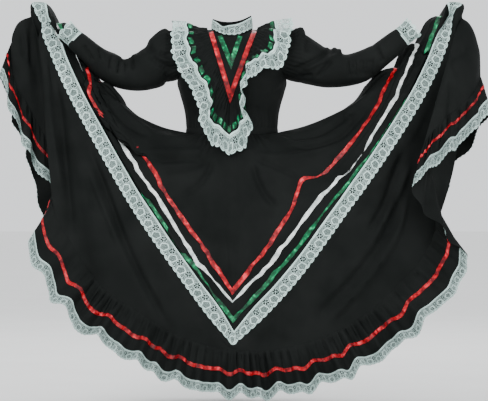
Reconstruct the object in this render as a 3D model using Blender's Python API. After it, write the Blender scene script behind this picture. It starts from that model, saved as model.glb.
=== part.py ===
"""Folklorico dress with a stand collar, long puffed sleeves, a V-shaped ruffle and a wide skirt held out by hand.

Metres, +Z up. The front faces -Y and +X is to the viewer's right. The origin is the middle of the neck
opening at the height of the shoulders. Sizes in the tables are millimetres.
Every piece is a thin wall: a grid of points on its outer side, and the same grid moved in by its thickness.
"""

import math
from typing import NamedTuple

import bpy
import numpy as np

MM = 0.001
SEAM_GAP = 0.3 * MM
CLOTH = 1.6 * MM
TRIM = 1.0 * MM

# Bodice
WAIST_HEIGHT = -330
WAIST_BAND = 24
SHOULDER_HEIGHT = 15
SHOULDER_SLOPE = 0.05
NECK_HALF_WIDTH = 72
SHOULDER_TIP = 178
FRONT_NECK_DROP = 29
BACK_NECK_DROP = 12

# Collar
COLLAR_GAP = 0.6
COLLAR_HEIGHT = 43
COLLAR_LEAN = 4
COLLAR_TAPER = 0.93
COLLAR_RISE = 6
COLLAR_LACE_SHARES = (0.1, 0.9)
NECK_COLUMNS = 3

# Sleeves
SLEEVE_GAP = 0.5
SLEEVE_RINGS = 11
SLEEVE_PUCKER = 0.03
CUFF_LACE = 46
CUFF_LACE_OVERLAP = 0.25
CUFF_LACE_FLARE = 3

# V ruffle
RUFFLE_WAVES = 14
RUFFLE_WAVE_COLUMNS = 3
RUFFLE_WAVE = 6
RUFFLE_LACE_WAVE = 8
RUFFLE_RIBBON = (0.66, 0.84)
RUFFLE_OFF = 3.4
RUFFLE_SHOULDER_OFF = 3.5

# Trim
RIBBON_WIDTH = 16
LACE_WIDTH = 50

# Skirt
WAIST_HALF_WIDTH = 160
WAIST_HALF_DEPTH = 117
SKIRT_TOP = WAIST_HEIGHT - WAIST_BAND
PEAK_AROUND = 14 / 60
SIDE_AROUND = 15 / 60
FRONT_FOLD_AROUND = 11 / 60
BACK_FOLD_AROUND = 19 / 60
SHARE_AT_FOLD = 0.93
COLUMNS_TO_FRONT_FOLD = 11
COLUMNS_TO_PEAK = 3
COLUMNS_TO_BACK_FOLD = 3
COLUMNS_TO_BACK_MIDDLE = 8
WEB_SHARES = (0.34, 0.68)
WEB_SAG = 46
WEB_FULLNESS = 26
BULGE_ROOM = 340
DRAPE_SHARES = (0.2, 0.42, 0.66)
HAND_SWELL_RIGHT = (50, 0, 4)
HAND_SWELL_LEFT = (-50, 0, 20)
HAND_SWELL_AROUND = 0.305
HAND_SWELL_WIDTH = 0.028
HAND_SWELL_BY_SHARE = (1.0, 0.95, 0.55)
HAND_SPREAD_RIGHT = (110, 0, 0)
HAND_SPREAD_LEFT = (-140, 0, 0)
HAND_RISE_RIGHT = (12, 0, 42)
HAND_RISE_LEFT = (-20, 14, 46)
HAND_RISE_AROUND = 0.274
HAND_RISE_WIDTH = 0.02
HAND_RISE_BY_SHARE = (1.0, 0.4, 0.0)

# Flounce
WAVE_COLUMNS = 2
FLOUNCE_DEPTH = 160
FLOUNCE_GAP = 0.6
FLOUNCE_WAVE = 20
FLOUNCE_SHARES = (0.0, 0.36, 0.46, 0.74, 1.0)


class Section(NamedTuple):
    """One ring of the bodice: its share of the height from waist to shoulder, and its reach in millimetres."""

    name: str
    share: float
    half_width: float
    front: float
    back: float


BODICE = (
    Section("waist", 0.00, 160, 117, 107),
    Section("ribs", 0.17, 166, 122, 109),
    Section("bust", 0.36, 183, 141, 114),
    Section("underarm", 0.50, 190, 138, 117),
    Section("chest", 0.64, 195, 126, 112),
    Section("collarbone", 0.80, 199, 98, 93),
    Section("neck", 0.91, 202, 66, 64),
    Section("shoulder front", 0.97, 204, 36, 36),
    Section("shoulder", 1.00, 205, 0, 0),
)


class ArmholeRow(NamedTuple):
    """One row of a bodice panel: its share of the height, and how far the panel's side edge lies from the middle."""

    share: float
    edge: float


PANEL_ROWS = (
    ArmholeRow(0.00, 160),
    ArmholeRow(0.12, 163),
    ArmholeRow(0.24, 171),
    ArmholeRow(0.36, 183),
    ArmholeRow(0.50, 190),
    ArmholeRow(0.58, 172),
    ArmholeRow(0.68, 161),
    ArmholeRow(0.79, 159),
    ArmholeRow(0.89, 164),
    ArmholeRow(0.96, 171),
    ArmholeRow(1.00, 178),
)
UNDERARM_ROW = 4
PANEL_COLUMNS = (0, 0.14, 0.27, 0.404, 0.55, 0.70, 0.84, 0.94, 1)


class SleeveRing(NamedTuple):
    """One ring of a sleeve: its middle, and its half height seen from the front and half depth."""

    name: str
    across: float
    depth: float
    height: float
    half_height: float
    half_depth: float


LEFT_SLEEVE = (
    SleeveRing("puff", -231, -8, -80, 88, 84),
    SleeveRing("upper arm", -283, -20, -121, 74, 72),
    SleeveRing("lower upper arm", -335, -38, -144, 58, 60),
    SleeveRing("elbow", -387, -62, -145, 50, 52),
    SleeveRing("forearm", -432, -88, -121, 47, 47),
    SleeveRing("mid forearm", -473, -116, -87, 42, 42),
    SleeveRing("wrist", -512, -140, -53, 36, 37),
    SleeveRing("cuff", -543, -160, -24, 31, 33),
)
RIGHT_SLEEVE = (
    SleeveRing("puff", 243, -8, -84, 87, 84),
    SleeveRing("upper arm", 295, -20, -111, 73, 72),
    SleeveRing("lower upper arm", 347, -36, -126, 64, 62),
    SleeveRing("elbow", 398, -56, -131, 57, 56),
    SleeveRing("forearm", 450, -78, -118, 52, 50),
    SleeveRing("mid forearm", 502, -98, -87, 46, 45),
    SleeveRing("wrist", 547, -118, -53, 40, 40),
    SleeveRing("cuff", 592, -134, -15, 34, 35),
)


class RuffleStation(NamedTuple):
    """One station of the V ruffle: where it is sewn on, and its cloth edge and lace edge (across, depth, height)."""

    name: str
    sewn: tuple
    edge: tuple
    lace: tuple


LEFT_RUFFLE = (
    RuffleStation("tip", (-7.3, -252), (-7.3, -144, -369), (-7.3, -170, -430)),
    RuffleStation("low front", (-18, -225), (-50, -148, -338), (-61, -166, -396)),
    RuffleStation("waist", (-26, -198), (-81, -152, -307), (-98, -160, -348)),
    RuffleStation("ribs", (-36, -163), (-71, -166, -252), (-115, -166, -273)),
    RuffleStation("bust", (-46, -129), (-88, -164, -198), (-136, -158, -211)),
    RuffleStation("chest", (-57, -88), (-122, -150, -143), (-170, -138, -157)),
    RuffleStation("armhole", (-69, -47), (-150, -126, -85), (-201, -116, -95)),
    RuffleStation("collarbone", (-78, -16), (-160, -98, -33), (-210, -106, -40)),
    RuffleStation("shoulder", (-86, 12), (-162, -20, 32), (-207, -20, 30)),
    RuffleStation("shoulder blade", (-69, -16), (-158, 92, -28), (-208, 96, -34)),
    RuffleStation("upper back", (-56, -66), (-135, 132, -95), (-183, 124, -110)),
    RuffleStation("mid back", (-32, -130), (-94, 142, -180), (-134, 142, -205)),
    RuffleStation("back tip", (-0.3, -180), (-0.3, 140, -262), (-0.3, 148, -315)),
)
RIGHT_RUFFLE = (
    RuffleStation("tip", (-6.7, -252), (-6.7, -144, -369), (-6.7, -170, -430)),
    RuffleStation("low front", (9, -225), (28, -150, -335), (49, -168, -396)),
    RuffleStation("waist", (18, -198), (49, -156, -307), (66, -168, -355)),
    RuffleStation("ribs", (30, -163), (34, -182, -252), (44, -206, -280)),
    RuffleStation("bust", (42, -129), (36, -190, -198), (42, -220, -218)),
    RuffleStation("chest", (54, -92), (57, -180, -124), (60, -200, -172)),
    RuffleStation("armhole", (66, -58), (104, -164, -88), (112, -174, -139)),
    RuffleStation("collarbone", (78, -22), (145, -138, -76), (172, -142, -126)),
    RuffleStation("front shoulder", (86, 1), (153, -92, -24), (200, -106, -42)),
    RuffleStation("shoulder", (89, 11), (157, -16, 33), (212, -16, 36)),
    RuffleStation("shoulder blade", (69, -16), (158, 92, -28), (208, 96, -34)),
    RuffleStation("upper back", (56, -66), (135, 132, -95), (183, 124, -110)),
    RuffleStation("mid back", (32, -130), (94, 142, -180), (134, 142, -205)),
    RuffleStation("back tip", (0.3, -180), (0.3, 140, -262), (0.3, 148, -315)),
)


class VLine(NamedTuple):
    """A line of trim that runs round the skirt in a zigzag: down at the middles and up to both hands.

    right and left are its places seen from the front (across, height) at each fifth of the way from tip to hand.
    """

    name: str
    width: float
    right: tuple
    left: tuple
    tip_depth: float
    hand_depth: float
    over_the_top: tuple
    back_rise: float
    back_depth: float


V_LINES = (
    VLine(
        "red",
        RIBBON_WIDTH,
        right=((2, -891), (119, -741), (227, -584), (357, -446), (475, -297), (563, -129)),
        left=((2, -891), (-96, -741), (-200, -595), (-292, -443), (-392, -308), (-462, -178)),
        tip_depth=-270,
        hand_depth=-100,
        over_the_top=(-30, 44, -14),
        back_rise=40,
        back_depth=285,
    ),
    VLine(
        "white",
        RIBBON_WIDTH,
        right=((3, -924), (154, -766), (286, -591), (430, -427), (552, -246), (640, -46)),
        left=((3, -924), (-130, -767), (-239, -592), (-355, -422), (-453, -242), (-543, -62)),
        tip_depth=-278,
        hand_depth=-92,
        over_the_top=(-30, 42, -10),
        back_rise=42,
        back_depth=292,
    ),
    VLine(
        "green",
        RIBBON_WIDTH,
        right=((5, -984), (176, -798), (330, -598), (481, -395), (616, -182), (717, 49)),
        left=((5, -984), (-136, -793), (-272, -598), (-394, -395), (-505, -186), (-596, 24)),
        tip_depth=-288,
        hand_depth=-85,
        over_the_top=(-14, 38, 2),
        back_rise=46,
        back_depth=302,
    ),
    VLine(
        "lace",
        LACE_WIDTH,
        right=((7, -1046), (196, -847), (362, -625), (523, -400), (668, -163), (772, 94)),
        left=((7, -1046), (-151, -835), (-304, -617), (-440, -388), (-566, -153), (-667, 94)),
        tip_depth=-302,
        hand_depth=-80,
        over_the_top=(2, 34, 8),
        back_rise=52,
        back_depth=314,
    ),
)


class HemPoint(NamedTuple):
    """A point of the hem: where it is round the skirt, its place, how its flounce leans and how the cloth above bulges.

    leans is 1 where the flounce points at the waist and 0 where it points at the hand. bulge is sideways, away from
    the middle, and forward is towards the front.
    """

    name: str
    around: float
    across: float
    depth: float
    height: float
    leans: float
    bulge: float
    forward: float


HEM = (
    HemPoint("front centre", 0 / 60, 25, -365, -1236, 1.0, 0, 0),
    HemPoint("front right 1", 3 / 60, 232, -355, -1220, 1.0, 0, 0),
    HemPoint("front right 2", 6 / 60, 445, -328, -1145, 1.0, 0, 0),
    HemPoint("front right 3", 9 / 60, 655, -285, -990, 1.0, 10, 0),
    HemPoint("right outer fold", 11 / 60, 800, -238, -800, 0.75, 60, 0),
    HemPoint("right folded hem", 12.5 / 60, 700, -290, -668, 0.2, 30, -14),
    HemPoint("right inner fold", 14 / 60, 605, -345, -548, 0.0, 0, 12),
    HemPoint("right flop 1", 15.7 / 60, 695, -320, -458, 0.0, 0, 50),
    HemPoint("right flop 2", 17.3 / 60, 790, -270, -375, 0.0, 8, 44),
    HemPoint("right far fold", 19 / 60, 882, -190, -288, 0.0, 20, 16),
    HemPoint("back right 1", 21 / 60, 790, -30, -450, 0.3, 0, -20),
    HemPoint("back right 2", 23.5 / 60, 660, 130, -760, 0.9, 0, 0),
    HemPoint("back right 3", 26.5 / 60, 430, 270, -1050, 1.0, 0, 0),
    HemPoint("back centre", 30 / 60, 0, 365, -1205, 1.0, 0, 0),
    HemPoint("back left 3", 33.5 / 60, -430, 270, -1040, 1.0, 0, 0),
    HemPoint("back left 2", 36.5 / 60, -640, 130, -730, 0.9, 0, 0),
    HemPoint("back left 1", 39 / 60, -732, 34, -400, 0.35, 0, -34),
    HemPoint("left far fold", 41 / 60, -798, -104, -160, 0.0, 26, 0),
    HemPoint("left flop 2", 42.7 / 60, -740, -126, -325, 0.0, 16, 24),
    HemPoint("left flop 1", 44.3 / 60, -680, -116, -468, 0.0, 0, 14),
    HemPoint("left inner fold", 46 / 60, -600, -115, -560, 0.0, 0, 0),
    HemPoint("left folded hem", 47.5 / 60, -615, -170, -655, 0.2, 0, 0),
    HemPoint("left outer fold", 49 / 60, -688, -240, -730, 0.5, 6, 0),
    HemPoint("front left 3", 51 / 60, -575, -285, -945, 1.0, 10, 0),
    HemPoint("front left 2", 54 / 60, -390, -328, -1085, 1.0, 0, 0),
    HemPoint("front left 1", 57 / 60, -185, -355, -1192, 1.0, 0, 0),
)


class DrapeFold(NamedTuple):
    """A long soft fold of the skirt below the lace, from a hand to the middle of the hem."""

    name: str
    side: str
    face: str
    share: float
    width: float
    height: float


DRAPE_FOLDS = (
    DrapeFold("left upper ridge", "left", "front", 0.30, 0.16, 16),
    DrapeFold("left lower ridge", "left", "front", 0.68, 0.15, 18),
    DrapeFold("right upper ridge", "right", "front", 0.38, 0.16, 14),
    DrapeFold("right lower ridge", "right", "front", 0.72, 0.14, 20),
    DrapeFold("back left upper ridge", "left", "back", 0.32, 0.16, 16),
    DrapeFold("back left lower ridge", "left", "back", 0.70, 0.14, 18),
    DrapeFold("back right upper ridge", "right", "back", 0.35, 0.15, 16),
    DrapeFold("back right lower ridge", "right", "back", 0.70, 0.15, 18),
)


class CalmPlace(NamedTuple):
    """A place round the skirt where the flounce's waves die down."""

    around: float
    share: float
    width: float


CALM_PLACES = (
    CalmPlace(FRONT_FOLD_AROUND, 0.6, 0.022),
    CalmPlace(PEAK_AROUND, 0.8, 0.022),
    CalmPlace(BACK_FOLD_AROUND, 0.75, 0.024),
)


class YokeArm(NamedTuple):
    """One arm of a V of ribbon on the front: its middle line from the tip to the top, seen from the front."""

    colour: str
    tip: tuple
    top: tuple


YOKE_ARMS = (
    YokeArm("red", (-5, -231), (-69, -4)),
    YokeArm("red", (-5, -231), (74, 4)),
    YokeArm("green", (-3, -119), (-37, -16)),
    YokeArm("green", (-3, -119), (27, -18)),
)

CLOTH_COLOUR = (0.012, 0.013, 0.013, 1)
LACE_COLOUR = (0.62, 0.70, 0.66, 1)
RED_COLOUR = (0.62, 0.02, 0.025, 1)
GREEN_COLOUR = (0.0, 0.30, 0.10, 1)
WHITE_COLOUR = (0.78, 0.82, 0.80, 1)


# Shared shape functions


def smooth_path(stations, points, at, period=None):
    """A smooth curve through points at their stations, read at other places. A period closes it."""
    stations = np.asarray(stations, float)
    points = np.asarray(points, float)
    at = np.asarray(at, float)
    if period:
        stations = np.concatenate([stations[-2:] - period, stations, stations[:2] + period])
        points = np.concatenate([points[-2:], points, points[:2]])
    steps = np.diff(stations)
    slopes = np.diff(points, axis=0) / steps[:, None]
    tangents = np.empty_like(points)
    tangents[0], tangents[-1] = slopes[0], slopes[-1]
    before, after = steps[:-1, None], steps[1:, None]
    tangents[1:-1] = (slopes[:-1] * after + slopes[1:] * before) / (before + after)
    k = np.clip(np.searchsorted(stations, at, side="right") - 1, 0, len(steps) - 1)
    h = steps[k]
    t = ((at - stations[k]) / h)[:, None]
    h = h[:, None]
    return (
        points[k] * (1 + 2 * t) * (1 - t) ** 2
        + tangents[k] * h * t * (1 - t) ** 2
        + points[k + 1] * t**2 * (3 - 2 * t)
        + tangents[k + 1] * h * t**2 * (t - 1)
    )


def unit(vectors):
    return vectors / np.maximum(np.linalg.norm(vectors, axis=-1, keepdims=True), 1e-12)


def normals_of(grid, around=False):
    """Outward directions of a grid, each facing the same way as every triangle that meets there.

    Rows run down the piece and columns run anticlockwise seen from above.
    """
    if around:
        grid = np.concatenate([grid[:, -1:], grid, grid[:, :1]], axis=1)
    a, b, c, d = grid[:-1, :-1], grid[1:, :-1], grid[1:, 1:], grid[:-1, 1:]
    lower, upper = unit(np.cross(b - a, c - a)), unit(np.cross(c - a, d - a))
    rows, columns = grid.shape[:2]
    met = np.zeros((6, rows, columns, 3))
    met[0, :-1, :-1] = lower
    met[1, 1:, :-1] = lower
    met[2, 1:, 1:] = lower
    met[3, :-1, :-1] = upper
    met[4, 1:, 1:] = upper
    met[5, :-1, 1:] = upper
    normals = unit(met.sum(axis=0))
    blank = (met == 0).all(axis=-1)
    for _ in range(16):
        facing = (met * normals).sum(axis=-1) + 2 * blank
        worst = np.take_along_axis(met, facing.argmin(axis=0)[None, :, :, None], axis=0)[0]
        normals = unit(normals + 0.2 * worst)
    return normals[:, 1:-1] if around else normals


def bell(x, middle, width):
    return np.exp(-(((x - middle) / width) ** 2))


# The skirt's surface


def skirt_columns():
    """Places round the skirt of its columns, with one on each fold and each peak."""
    stretches = (
        (0, FRONT_FOLD_AROUND, COLUMNS_TO_FRONT_FOLD),
        (FRONT_FOLD_AROUND, PEAK_AROUND, COLUMNS_TO_PEAK),
        (PEAK_AROUND, SIDE_AROUND, 1),
        (SIDE_AROUND, BACK_FOLD_AROUND, COLUMNS_TO_BACK_FOLD),
        (BACK_FOLD_AROUND, 0.5, COLUMNS_TO_BACK_MIDDLE),
    )
    half = [start + (end - start) * k / count for start, end, count in stretches for k in range(count)]
    return np.array(half + [0.5] + [1 - place for place in reversed(half[1:])])


def split_columns(places):
    """The skirt column before each flounce column, and how far along to the next one it lies."""
    steps = np.arange(len(places) * WAVE_COLUMNS)
    return steps // WAVE_COLUMNS, (steps % WAVE_COLUMNS) / WAVE_COLUMNS


def around_to_waist(around):
    angle = 2 * math.pi * around
    return np.stack(
        [WAIST_HALF_WIDTH * np.sin(angle), -WAIST_HALF_DEPTH * np.cos(angle), np.full_like(angle, SKIRT_TOP)], axis=-1
    )


def v_line_points(line, around):
    """Points of a zigzag line at their places round the skirt."""
    points = np.empty((len(around), 3))
    for k, place in enumerate(around):
        right = place <= 0.5
        a = place if right else 1 - place
        side = 1 if right else -1
        shape = np.array(line.right if right else line.left, float)
        peak = np.array([shape[-1, 0], line.hand_depth, shape[-1, 1]])
        over = np.array(line.over_the_top, float) * (side, 1, 1)
        if PEAK_AROUND < a < SIDE_AROUND:
            points[k] = peak + over * (a - PEAK_AROUND) / (SIDE_AROUND - PEAK_AROUND)
            continue
        front = a <= PEAK_AROUND
        if front:
            far = (a - FRONT_FOLD_AROUND) / (PEAK_AROUND - FRONT_FOLD_AROUND)
            near = a / FRONT_FOLD_AROUND
        else:
            far = (BACK_FOLD_AROUND - a) / (BACK_FOLD_AROUND - SIDE_AROUND)
            near = (0.5 - a) / (0.5 - BACK_FOLD_AROUND)
        share = near * SHARE_AT_FOLD if far <= 0 else SHARE_AT_FOLD + (1 - SHARE_AT_FOLD) * far
        across, height = smooth_path(np.linspace(0, 1, len(shape)), shape, np.array([share]))[0]
        bend = math.cos(share * math.pi / 2)
        if front:
            points[k] = (across, peak[1] + (line.tip_depth - peak[1]) * bend, height)
        else:
            middle = (1 - share) * shape[0, 0]
            depth = peak[1] + over[1]
            points[k] = (
                across - middle + over[0] * share,
                depth + (line.back_depth - depth) * bend,
                height + line.back_rise * (1 - share) + over[2] * share,
            )
    return points


def hem_values(around):
    """Place, lean and bulge of the hem at places round the skirt."""
    table = np.array([p[1:] for p in HEM], float)
    values = smooth_path(table[:, 0], table[:, 1:], around, period=1.0)
    return values[:, :3], np.clip(values[:, 3:4], 0, 1), values[:, 4:]


def near_hand(around, middle, width, right, left):
    """A shift that is largest at one place beside each hand, where the cloth falls over it."""
    share = bell(np.minimum(around, 1 - around), middle, width)[:, None]
    return share * np.where((around <= 0.5)[:, None], right, left)


def seam_points(around):
    """Where the flounce is sewn on: above the hem, towards the waist or towards the hand."""
    hem, leans, _ = hem_values(around)
    lace = v_line_points(V_LINES[-1], around)
    to_waist = unit(np.array([0, 0, SKIRT_TOP + 60]) - hem)
    spread = near_hand(around, HAND_SWELL_AROUND, HAND_SWELL_WIDTH, HAND_SPREAD_RIGHT, HAND_SPREAD_LEFT)
    to_hand = unit(lace + spread - hem)
    lean = unit(to_waist * leans + to_hand * (1 - leans))
    return hem + lean * FLOUNCE_DEPTH


def edges_of_line(centre, normal, width):
    """The upper and lower edge of a strip along a closed line, mitred at its tips and level where it tops a hand."""
    before, after = np.roll(centre, 1, axis=0), np.roll(centre, -1, axis=0)
    first, second = unit(centre - before), unit(after - centre)
    across = unit(np.cross(first + second, normal))
    turn = np.clip(np.linalg.norm(first + second, axis=1) / 2, 0.6, 1)
    peak = COLUMNS_TO_FRONT_FOLD + COLUMNS_TO_PEAK
    for column in (peak, peak + 1, -peak, -peak - 1):
        across[column] = (np.sign(centre[column, 0]), 0, 0)
        turn[column] = 1
    if width > 2 * RIBBON_WIDTH:
        turn[:] = 1
    shift = across * (width / 2 / turn)[:, None]
    return centre - shift, centre + shift


def skirt_rows(around):
    """The named lines of the skirt from the waist to the flounce seam, at places round it."""
    around = np.asarray(around, float)
    waist = around_to_waist(around)
    centres = [v_line_points(line, around) for line in V_LINES]
    seam = seam_points(around)
    _, _, bulge = hem_values(around)
    frame = np.array([waist, *centres, seam])
    normal = normals_of(frame, around=True)
    strips = [edges_of_line(c, normal[k + 1], line.width) for k, (c, line) in enumerate(zip(centres, V_LINES))]

    rows = [waist]
    first = strips[0][0]
    side = bell(np.minimum(around, 1 - around), SIDE_AROUND, 0.075)
    middle = np.cos(2 * math.pi * around) ** 2
    for share in WEB_SHARES:
        hang = 4 * share * (1 - share)
        row = waist + (first - waist) * share
        row[:, 2] -= WEB_SAG * hang * side
        row[:, 1] += np.where(waist[:, 1] < 0, -1, 1) * WEB_FULLNESS * hang * middle
        rows.append(row)
    for upper, lower in strips:
        rows += [upper, lower]
    last = strips[-1][1]
    outward = np.sign(seam[:, 0])
    room = np.clip(np.linalg.norm(seam - last, axis=1) / BULGE_ROOM, 0, 1)
    swell = near_hand(around, HAND_SWELL_AROUND, HAND_SWELL_WIDTH, HAND_SWELL_RIGHT, HAND_SWELL_LEFT)
    rise = near_hand(around, HAND_RISE_AROUND, HAND_RISE_WIDTH, HAND_RISE_RIGHT, HAND_RISE_LEFT)
    for share, swollen, risen in zip(DRAPE_SHARES, HAND_SWELL_BY_SHARE, HAND_RISE_BY_SHARE):
        row = last + (seam - last) * share
        row[:, 0] += outward * room * bulge[:, 0] * math.sin(math.pi * share)
        row[:, 1] -= room * bulge[:, 1] * math.sin(math.pi * share) ** 0.7
        row += normal[-2] * (room * drape(around, share))[:, None]
        row += swell * swollen + rise * risen
        rows.append(row)
    rows.append(seam)
    return np.array(rows)


def drape(around, share):
    """Height of the long folds below the lace. Each fades out towards the middle and past the hand's fold."""
    near = np.minimum(around, 1 - around)
    total = np.zeros_like(around)
    for fold in DRAPE_FOLDS:
        is_side = (around <= 0.5) == (fold.side == "right")
        from_middle = near / FRONT_FOLD_AROUND if fold.face == "front" else (0.5 - near) / (0.5 - BACK_FOLD_AROUND)
        fade = np.clip(from_middle, 0, 1.0) ** 0.8 * np.clip((1.12 - from_middle) / 0.35, 0, 1)
        total += is_side * fade * fold.height * bell(share, fold.share, fold.width)
    return total


def flounce_grid():
    """The gathered band: its upper edge follows the skirt, and its waves grow towards the hem."""
    places = skirt_columns()
    here, part = split_columns(places)
    ahead = (here + 1) % len(places)
    next_place = np.where(ahead == 0, 1.0, places[ahead])
    around = places[here] * (1 - part) + next_place * part
    corner = seam_points(places)
    part = part[:, None]
    seam = corner[here] * (1 - part) + corner[ahead] * part
    hem = hem_values(around)[0]
    run = unit(np.roll(seam, -1, axis=0) - np.roll(seam, 1, axis=0))
    down = unit(hem - seam)
    down = unit(down - run * (down * run).sum(axis=1, keepdims=True))
    start = seam + down * FLOUNCE_GAP
    normal = normals_of(np.array([seam, hem]), around=True)[0]
    wave = flounce_wave(around)
    room = np.linalg.norm(np.roll(hem, -WAVE_COLUMNS, axis=0) - np.roll(hem, WAVE_COLUMNS, axis=0), axis=1)
    wave = np.clip(wave, -0.15 * room, 0.15 * room)
    rows = []
    for share in FLOUNCE_SHARES:
        flare = math.sin(share * math.pi / 2) * 0.7 + share * 0.3
        rows.append(start + (hem - start) * share + normal * (wave * flare)[:, None])
    return np.array(rows)


def flounce_wave(around):
    """Height of the flounce's waves, calmer where the skirt turns over itself."""
    near = np.minimum(around, 1 - around)
    calm = 1 - sum(place.share * bell(near, place.around, place.width) for place in CALM_PLACES)
    part = (np.arange(len(around)) % WAVE_COLUMNS) / WAVE_COLUMNS
    return FLOUNCE_WAVE * calm * np.cos(2 * math.pi * part)


# The bodice's surface


def bodice_depth(across, height, face):
    """How far the bodice stands out at a place, negative at the front."""
    top = SHOULDER_HEIGHT - SHOULDER_SLOPE * (np.abs(across) - NECK_HALF_WIDTH)
    share = (height - WAIST_HEIGHT) / (top - WAIST_HEIGHT)
    table = np.array([s[1:] for s in BODICE], float)
    width, front, back = smooth_path(table[:, 0], table[:, 1:], np.ravel(share)).T
    reach = -front if face == "front" else back
    round_off = np.sqrt(np.clip(1 - (np.ravel(across) / width) ** 2, 0, 1))
    return (reach * round_off).reshape(np.shape(across))


def on_bodice(across, climb):
    """A point of the bodice and its outward direction. climb is 0 at the front waist, 1 on the shoulder, 2 behind."""

    def place(x, c):
        top = SHOULDER_HEIGHT - SHOULDER_SLOPE * (np.abs(x) - NECK_HALF_WIDTH)
        height = WAIST_HEIGHT + (top - WAIST_HEIGHT) * np.minimum(c, 2 - c)
        front, back = bodice_depth(x, height, "front"), bodice_depth(x, height, "back")
        return np.stack([x, np.where(c <= 1, front, back), height], axis=-1)

    step = 0.01
    up = place(across, climb + step) - place(across, climb - step)
    over = place(across + 1, climb) - place(across - 1, climb)
    return place(across, climb), unit(np.cross(over, up))


def panel_top(column, face):
    """Height of a panel's top edge: the neckline in the middle and the shoulder seam beside it."""
    across = SHOULDER_TIP * abs(column)
    drop = FRONT_NECK_DROP if face == "front" else BACK_NECK_DROP
    if across <= NECK_HALF_WIDTH + 0.5:
        return SHOULDER_HEIGHT - drop * (1 - (across / NECK_HALF_WIDTH) ** 2)
    return SHOULDER_HEIGHT - SHOULDER_SLOPE * (across - NECK_HALF_WIDTH)


def bodice_grid(columns, face):
    """Outer points of a bodice panel, rows from the shoulder down."""
    rows = []
    for row in reversed(PANEL_ROWS):
        points = []
        for column in columns:
            top = panel_top(column, face)
            height = WAIST_HEIGHT + (top - WAIST_HEIGHT) * row.share
            across = row.edge * column
            depth = float(bodice_depth(np.array([across]), np.array([height]), face)[0])
            points.append((across, depth, height))
        rows.append(points)
    return np.array(rows)


def part_seam(grid, gap):
    """Moves a panel's shoulder, side and armhole edges off the seam by half the gap."""
    moved = grid.copy()
    away = -1 if grid[5, grid.shape[1] // 2, 1] < 0 else 1
    moved[:, :, 1] += away * gap / 2
    return moved


# Building the pieces


def clear_scene():
    for obj in list(bpy.data.objects):
        bpy.data.objects.remove(obj, do_unlink=True)


def material(name, colour, roughness):
    made = bpy.data.materials.new(name)
    made.use_nodes = True
    shader = made.node_tree.nodes["Principled BSDF"]
    shader.inputs["Base Color"].default_value = colour
    shader.inputs["Roughness"].default_value = roughness
    shader.inputs["Metallic"].default_value = 0.0
    made.diffuse_color = colour
    return made


def wall(name, outer, inner, finish, around=False):
    """A closed thin wall between two grids of points in millimetres. Every layer splits its squares the same way."""
    rows, columns = outer.shape[:2]
    points = np.concatenate([outer.reshape(-1, 3), inner.reshape(-1, 3)]) * MM
    shift = rows * columns

    def index(i, j):
        return i * columns + j % columns

    faces = []
    last = columns if around else columns - 1
    for i in range(rows - 1):
        for j in range(last):
            a, b, c, d = index(i, j), index(i + 1, j), index(i + 1, j + 1), index(i, j + 1)
            faces += [(a, b, c), (a, c, d)]
            faces += [(a + shift, c + shift, b + shift), (a + shift, d + shift, c + shift)]
    for j in range(last):
        for i, up in ((0, True), (rows - 1, False)):
            a, b = index(i, j), index(i, j + 1)
            quad = [(a, b, b + shift), (a, b + shift, a + shift)]
            faces += quad if up else [q[::-1] for q in quad]
    if not around:
        for i in range(rows - 1):
            for j, first in ((0, True), (columns - 1, False)):
                a, b = index(i, j), index(i + 1, j)
                quad = [(a, a + shift, b + shift), (a, b + shift, b)]
                faces += quad if first else [q[::-1] for q in quad]
    return mesh_object(name, points, faces, finish)


def mesh_object(name, points, faces, finish):
    mesh = bpy.data.meshes.new(name)
    mesh.from_pydata([tuple(p) for p in points], [], faces)
    mesh.update()
    made = bpy.data.objects.new(name, mesh)
    bpy.context.scene.collection.objects.link(made)
    mesh.materials.append(finish)
    mesh.shade_smooth()
    mesh.set_sharp_from_angle(angle=math.radians(50))
    return made


def level_rims(normals, rows):
    """Makes the wall's rim lie level in these rows, so that two rims meet flat."""
    level = normals.copy()
    for row in rows:
        level[row, :, 2] = 0
        level[row] = unit(level[row])
    return level


def layer(name, grid, normals, start, thickness, finish, around=False):
    """A wall that lies this far outside a grid, in millimetres."""
    return wall(name, grid + normals * (start + thickness), grid + normals * start, finish, around)


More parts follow.
